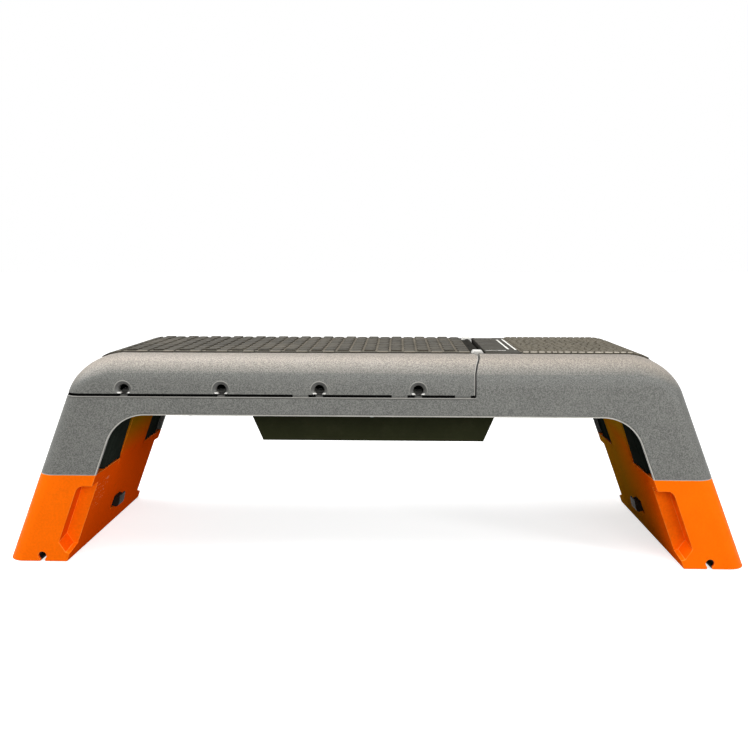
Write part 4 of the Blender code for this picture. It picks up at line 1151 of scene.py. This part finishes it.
def leg_frame(side, s, n):
    """XZ point from a leg's own measures: s up the rake, n out of its inner face."""
    x = FOOT_INNER - math.sin(INNER_RAKE) * s - math.cos(INNER_RAKE) * n
    z = math.cos(INNER_RAKE) * s - math.sin(INNER_RAKE) * n
    return side * x, z


def stem_outline(side, inset, open_top):
    """Stem between the leg and its pivot, rounded about the pivot."""
    pivot_s = (PIVOT_Z - PIVOT_SET * math.sin(INNER_RAKE)) / math.cos(INNER_RAKE)
    low = (SOCKET_Z - STEM_BITE) / math.cos(INNER_RAKE)
    outer = STEM_OUT - inset
    inner = PIVOT_SET - inset
    points = [(low, -PIVOT_SET - outer)]
    if open_top:
        points += [(pivot_s + STEM_OPEN, -PIVOT_SET - outer), (pivot_s + STEM_OPEN, inner - PIVOT_SET)]
    else:
        end = math.acos(-inner / outer)
        for i in range(STEM_STEPS + 1):
            angle = end * i / STEM_STEPS
            points.append((pivot_s + outer * math.sin(angle), -PIVOT_SET - outer * math.cos(angle)))
    points.append((low, inner - PIVOT_SET))
    return [leg_frame(side, s, n) for s, n in points]


def pocket_outline(grow, lift=0.0):
    """Finger pocket along the inner edge of a leg's side face."""
    back = POCKET_WIDTH + grow
    top = POCKET_TOP + grow
    low = POCKET_LOW - grow + lift
    inner_reach, inner_drop = POCKET_TAIL
    points = [(inner_line(top) - inner_reach, top)]
    for i in range(POCKET_CORNER_STEPS + 1):
        turn = math.pi / 2 * (1 - i / POCKET_CORNER_STEPS)
        down = POCKET_CORNER * (1 - math.sin(turn))
        points.append((inner_line(top - down) + back - POCKET_CORNER * (1 - math.cos(turn)), top - down))
    return points + [
        (inner_line(low + POCKET_STEP) + back, low + POCKET_STEP),
        (inner_line(low) + back - POCKET_STEP, low),
        (inner_line(low) - inner_reach, low - inner_drop),
    ]


def behind_inner_face(low, top, depth=0.0):
    """Outline of all that lies behind a leg's inner face, or behind a face at some depth."""
    return [(inner_line(low, depth), low), (BEYOND, low), (BEYOND, top), (inner_line(top, depth), top)]


def leg_hollow(side):
    """Room inside a leg, open at the bottom, with walls left round the pockets."""
    hollow = to_object("hollow", shell_solid(LEG_WALL, -PAST))
    room = behind_inner_face(-PAST, LEG_TOP - LEG_WALL, LEG_WALL)
    keep(hollow, prism(mirrored(room, side), *ACROSS))
    outline = mirrored(pocket_outline(POCKET_WALL), side)
    cut(hollow, *[prism(outline, *span(way, HALF - POCKET_DEPTH - POCKET_WALL, WIDTH)) for way in (-1, 1)])
    return hollow


def pocket(side, way):
    """Cutter of a finger pocket, whose lower end slopes outwards."""
    floor = mirrored(pocket_outline(0.0, POCKET_RAMP), side)
    mouth = mirrored(pocket_outline(0.0, -POCKET_RAMP * PAST / POCKET_DEPTH), side)
    ends = ((floor, way * (HALF - POCKET_DEPTH)), (mouth, way * (HALF + PAST)))
    (first, low), (second, high) = sorted(ends, key=lambda end: end[1])
    return loft(first, low, second, high)


def catch_window(side):
    reach = LATCH_HEIGHT / 2 + LATCH_CLEAR
    corners = ((-reach - LATCH_TRAVEL, -1), (reach, -1), (reach, 1), (-reach - LATCH_TRAVEL, 1))
    outline = [leg_frame(side, LATCH_S + s, way * WINDOW_DEPTH) for s, way in corners]
    return prism(outline, -LATCH_HALF - LATCH_CLEAR, LATCH_HALF + LATCH_CLEAR)


def leg_moulding(label, side):
    made = to_object(label + "_leg_moulding", shell_solid(0.0, SOLE_Z), "orange_leg")
    keep(made, prism(mirrored(behind_inner_face(-PAST, LEG_TOP), side), *ACROSS))
    add(made, prism(stem_outline(side, 0.0, False), -STEM_HALF, STEM_HALF))
    shaft_half = STEM_HALF - STEM_WALL
    cut(made, leg_hollow(side), prism(stem_outline(side, STEM_WALL, True), -shaft_half, shaft_half))
    slot = span(side, CHANNEL[0] - CHANNEL_SLOT / 2, CHANNEL[0] + CHANNEL_SLOT / 2)
    cut(made, pocket(side, -1), pocket(side, 1),
        bar((side * CHANNEL[0], CHANNEL[1]), CHANNEL_RADIUS, *ACROSS),
        block(slot, ACROSS, (-PAST, CHANNEL[1])), catch_window(side),
        bar((side * PIVOT_X, PIVOT_Z), LEG_PIN + GAP, -CHEEK_OUT, CHEEK_OUT))
    soften(made, LEG_EDGE, 3, "orange_edge")
    dress(made, label + "_leg", "orange_leg", label + "_leg")


def small_pieces():
    """Pieces that keep their node's form, each with its body, its look and the width of its edges."""
    rows = [("base_tray", "deck", "olive_tray", 0.0007)]
    for end in ("near", "far"):
        rows += [
            ("hinge_cap_" + end, "deck", "light_grey", 0.0007),
            ("prop_rack_" + end, "deck", "black_plastic", 0.0003),
            ("prop_clip_" + end, "backrest", "black_plastic", 0.0004),
        ]
    for side in ("left", "right"):
        rows += [
            (side + "_leg_well", "deck", "well_liner", 0.0005),
            (side + "_leg_sole", side + "_leg", "black_plastic", 0.0005),
            (side + "_latch", side + "_latch", "black_plastic", 0.0008),
            (side + "_latch_housing", side + "_leg", "black_plastic", 0.0005),
            (side + "_leg_pad_inner", side + "_leg", "rubber_pad", 0.0006),
            (side + "_leg_pad_outer", side + "_leg", "rubber_pad", 0.0006),
        ]
    for node, body, look, width in rows:
        dress(softened(node, node + "_rounded", look, width), body, look, node)


def plain_nodes():
    """Plated steel on the nodes whose solids stay."""
    for name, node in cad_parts.items():
        if "screw" in name or "spring" in name or name.endswith("_pin") or name == "prop_bar":
            node.data.materials.clear()
            node.data.materials.append(MATERIALS["steel"])


def seen_rays(nodes, links, *kinds):
    """One for the rays that look at the surroundings, which show them brighter than they light."""
    path = nodes.new("ShaderNodeLightPath")
    seen = path.outputs["Is Camera Ray"]
    for kind in kinds:
        join = nodes.new("ShaderNodeMath")
        join.operation = "MAXIMUM"
        links.new(seen, join.inputs[0])
        links.new(path.outputs[kind], join.inputs[1])
        seen = join.outputs["Value"]
    return seen


def stage_floor():
    """Pale floor that is white in the picture and still holds the object's shadow."""
    mesh = bmesh.new()
    bmesh.ops.create_grid(mesh, x_segments=2, y_segments=2, size=FLOOR_SIZE)
    floor = to_object("studio_floor", mesh)
    look = Look("studio_floor", specular=0.1)
    look.shader.inputs["Roughness"].default_value = 0.9
    seen = seen_rays(look.nodes, look.links, "Is Glossy Ray")
    look.colour(look.mix(seen, (0.30, 0.30, 0.30), (0.66, 0.66, 0.66)))
    reach = look.nodes.new("ShaderNodeVectorMath")
    reach.operation = "LENGTH"
    look.links.new(look.place, reach.inputs[0])
    glow = look.spread(reach.outputs["Value"], *GLOW_REACH, *GLOW_LEVEL)
    look.shader.inputs["Emission Color"].default_value = (1.0, 1.0, 1.0, 1.0)
    look.links.new(look.product(seen, glow), look.shader.inputs["Emission Strength"])
    floor.data.materials.append(look.material)


def studio_world():
    world = bpy.data.worlds.new("studio")
    bpy.context.scene.world = world
    world.use_nodes = True
    nodes = world.node_tree.nodes
    links = world.node_tree.links
    back = nodes["Background"]
    seen = seen_rays(nodes, links, "Is Glossy Ray", "Is Transmission Ray")
    level = nodes.new("ShaderNodeMapRange")
    level.inputs["To Min"].default_value = WORLD_LEVEL
    level.inputs["To Max"].default_value = 1.0
    links.new(seen, level.inputs["Value"])
    back.inputs["Color"].default_value = (1.0, 1.0, 1.0, 1.0)
    links.new(level.outputs["Result"], back.inputs["Strength"])


def lamp(name, place, aim, size, power):
    data = bpy.data.lights.new(name, "AREA")
    data.shape = "RECTANGLE"
    data.size = size[0]
    data.size_y = size[1]
    data.energy = power
    made = bpy.data.objects.new(name, data)
    bpy.context.scene.collection.objects.link(made)
    way = Vector(aim) - Vector(place)
    made.rotation_euler = way.to_track_quat("-Z", "Y").to_euler()
    made.location = place


def studio_lamps():
    lamp("overhead", (-0.2, -0.15, 2.2), (0.0, 0.0, 0.3), (2.4, 0.9), 52.0)
    lamp("front", (0.7, -3.0, 1.5), (0.0, 0.0, 0.2), (2.4, 1.6), 52.0)
    lamp("right", (2.2, -1.6, 1.1), (0.4, 0.0, 0.25), (0.4, 1.2), 27.0)
    lamp("left", (-2.0, -0.5, 1.9), (-0.5, 0.0, 0.30), (0.8, 1.0), 48.0)


def photo_camera():
    data = bpy.data.cameras.new("photo_view")
    data.sensor_width = SENSOR
    data.lens = FOCAL_PIXELS * SENSOR / PHOTO_SIZE
    made = bpy.data.objects.new("photo_view", data)
    bpy.context.scene.collection.objects.link(made)
    ahead = Vector((math.sin(YAW) * math.cos(PITCH), math.cos(YAW) * math.cos(PITCH), -math.sin(PITCH)))
    right = Vector((math.cos(YAW), -math.sin(YAW), 0.0))
    up = right.cross(ahead)
    turn = Matrix((right, up, -ahead)).transposed()
    made.matrix_world = Matrix.Translation(EYE) @ turn.to_4x4()
    bpy.context.scene.camera = made


photo_camera()
deck_moulding()
backrest_moulding()
backrest_mat()
seat_mat()
bare_plate()
for label, side in (("left", -1), ("right", 1)):
    leg_moulding(label, side)
small_pieces()
plain_nodes()
stage_floor()
studio_world()
studio_lamps()
bpy.context.scene.view_settings.view_transform = "Standard"
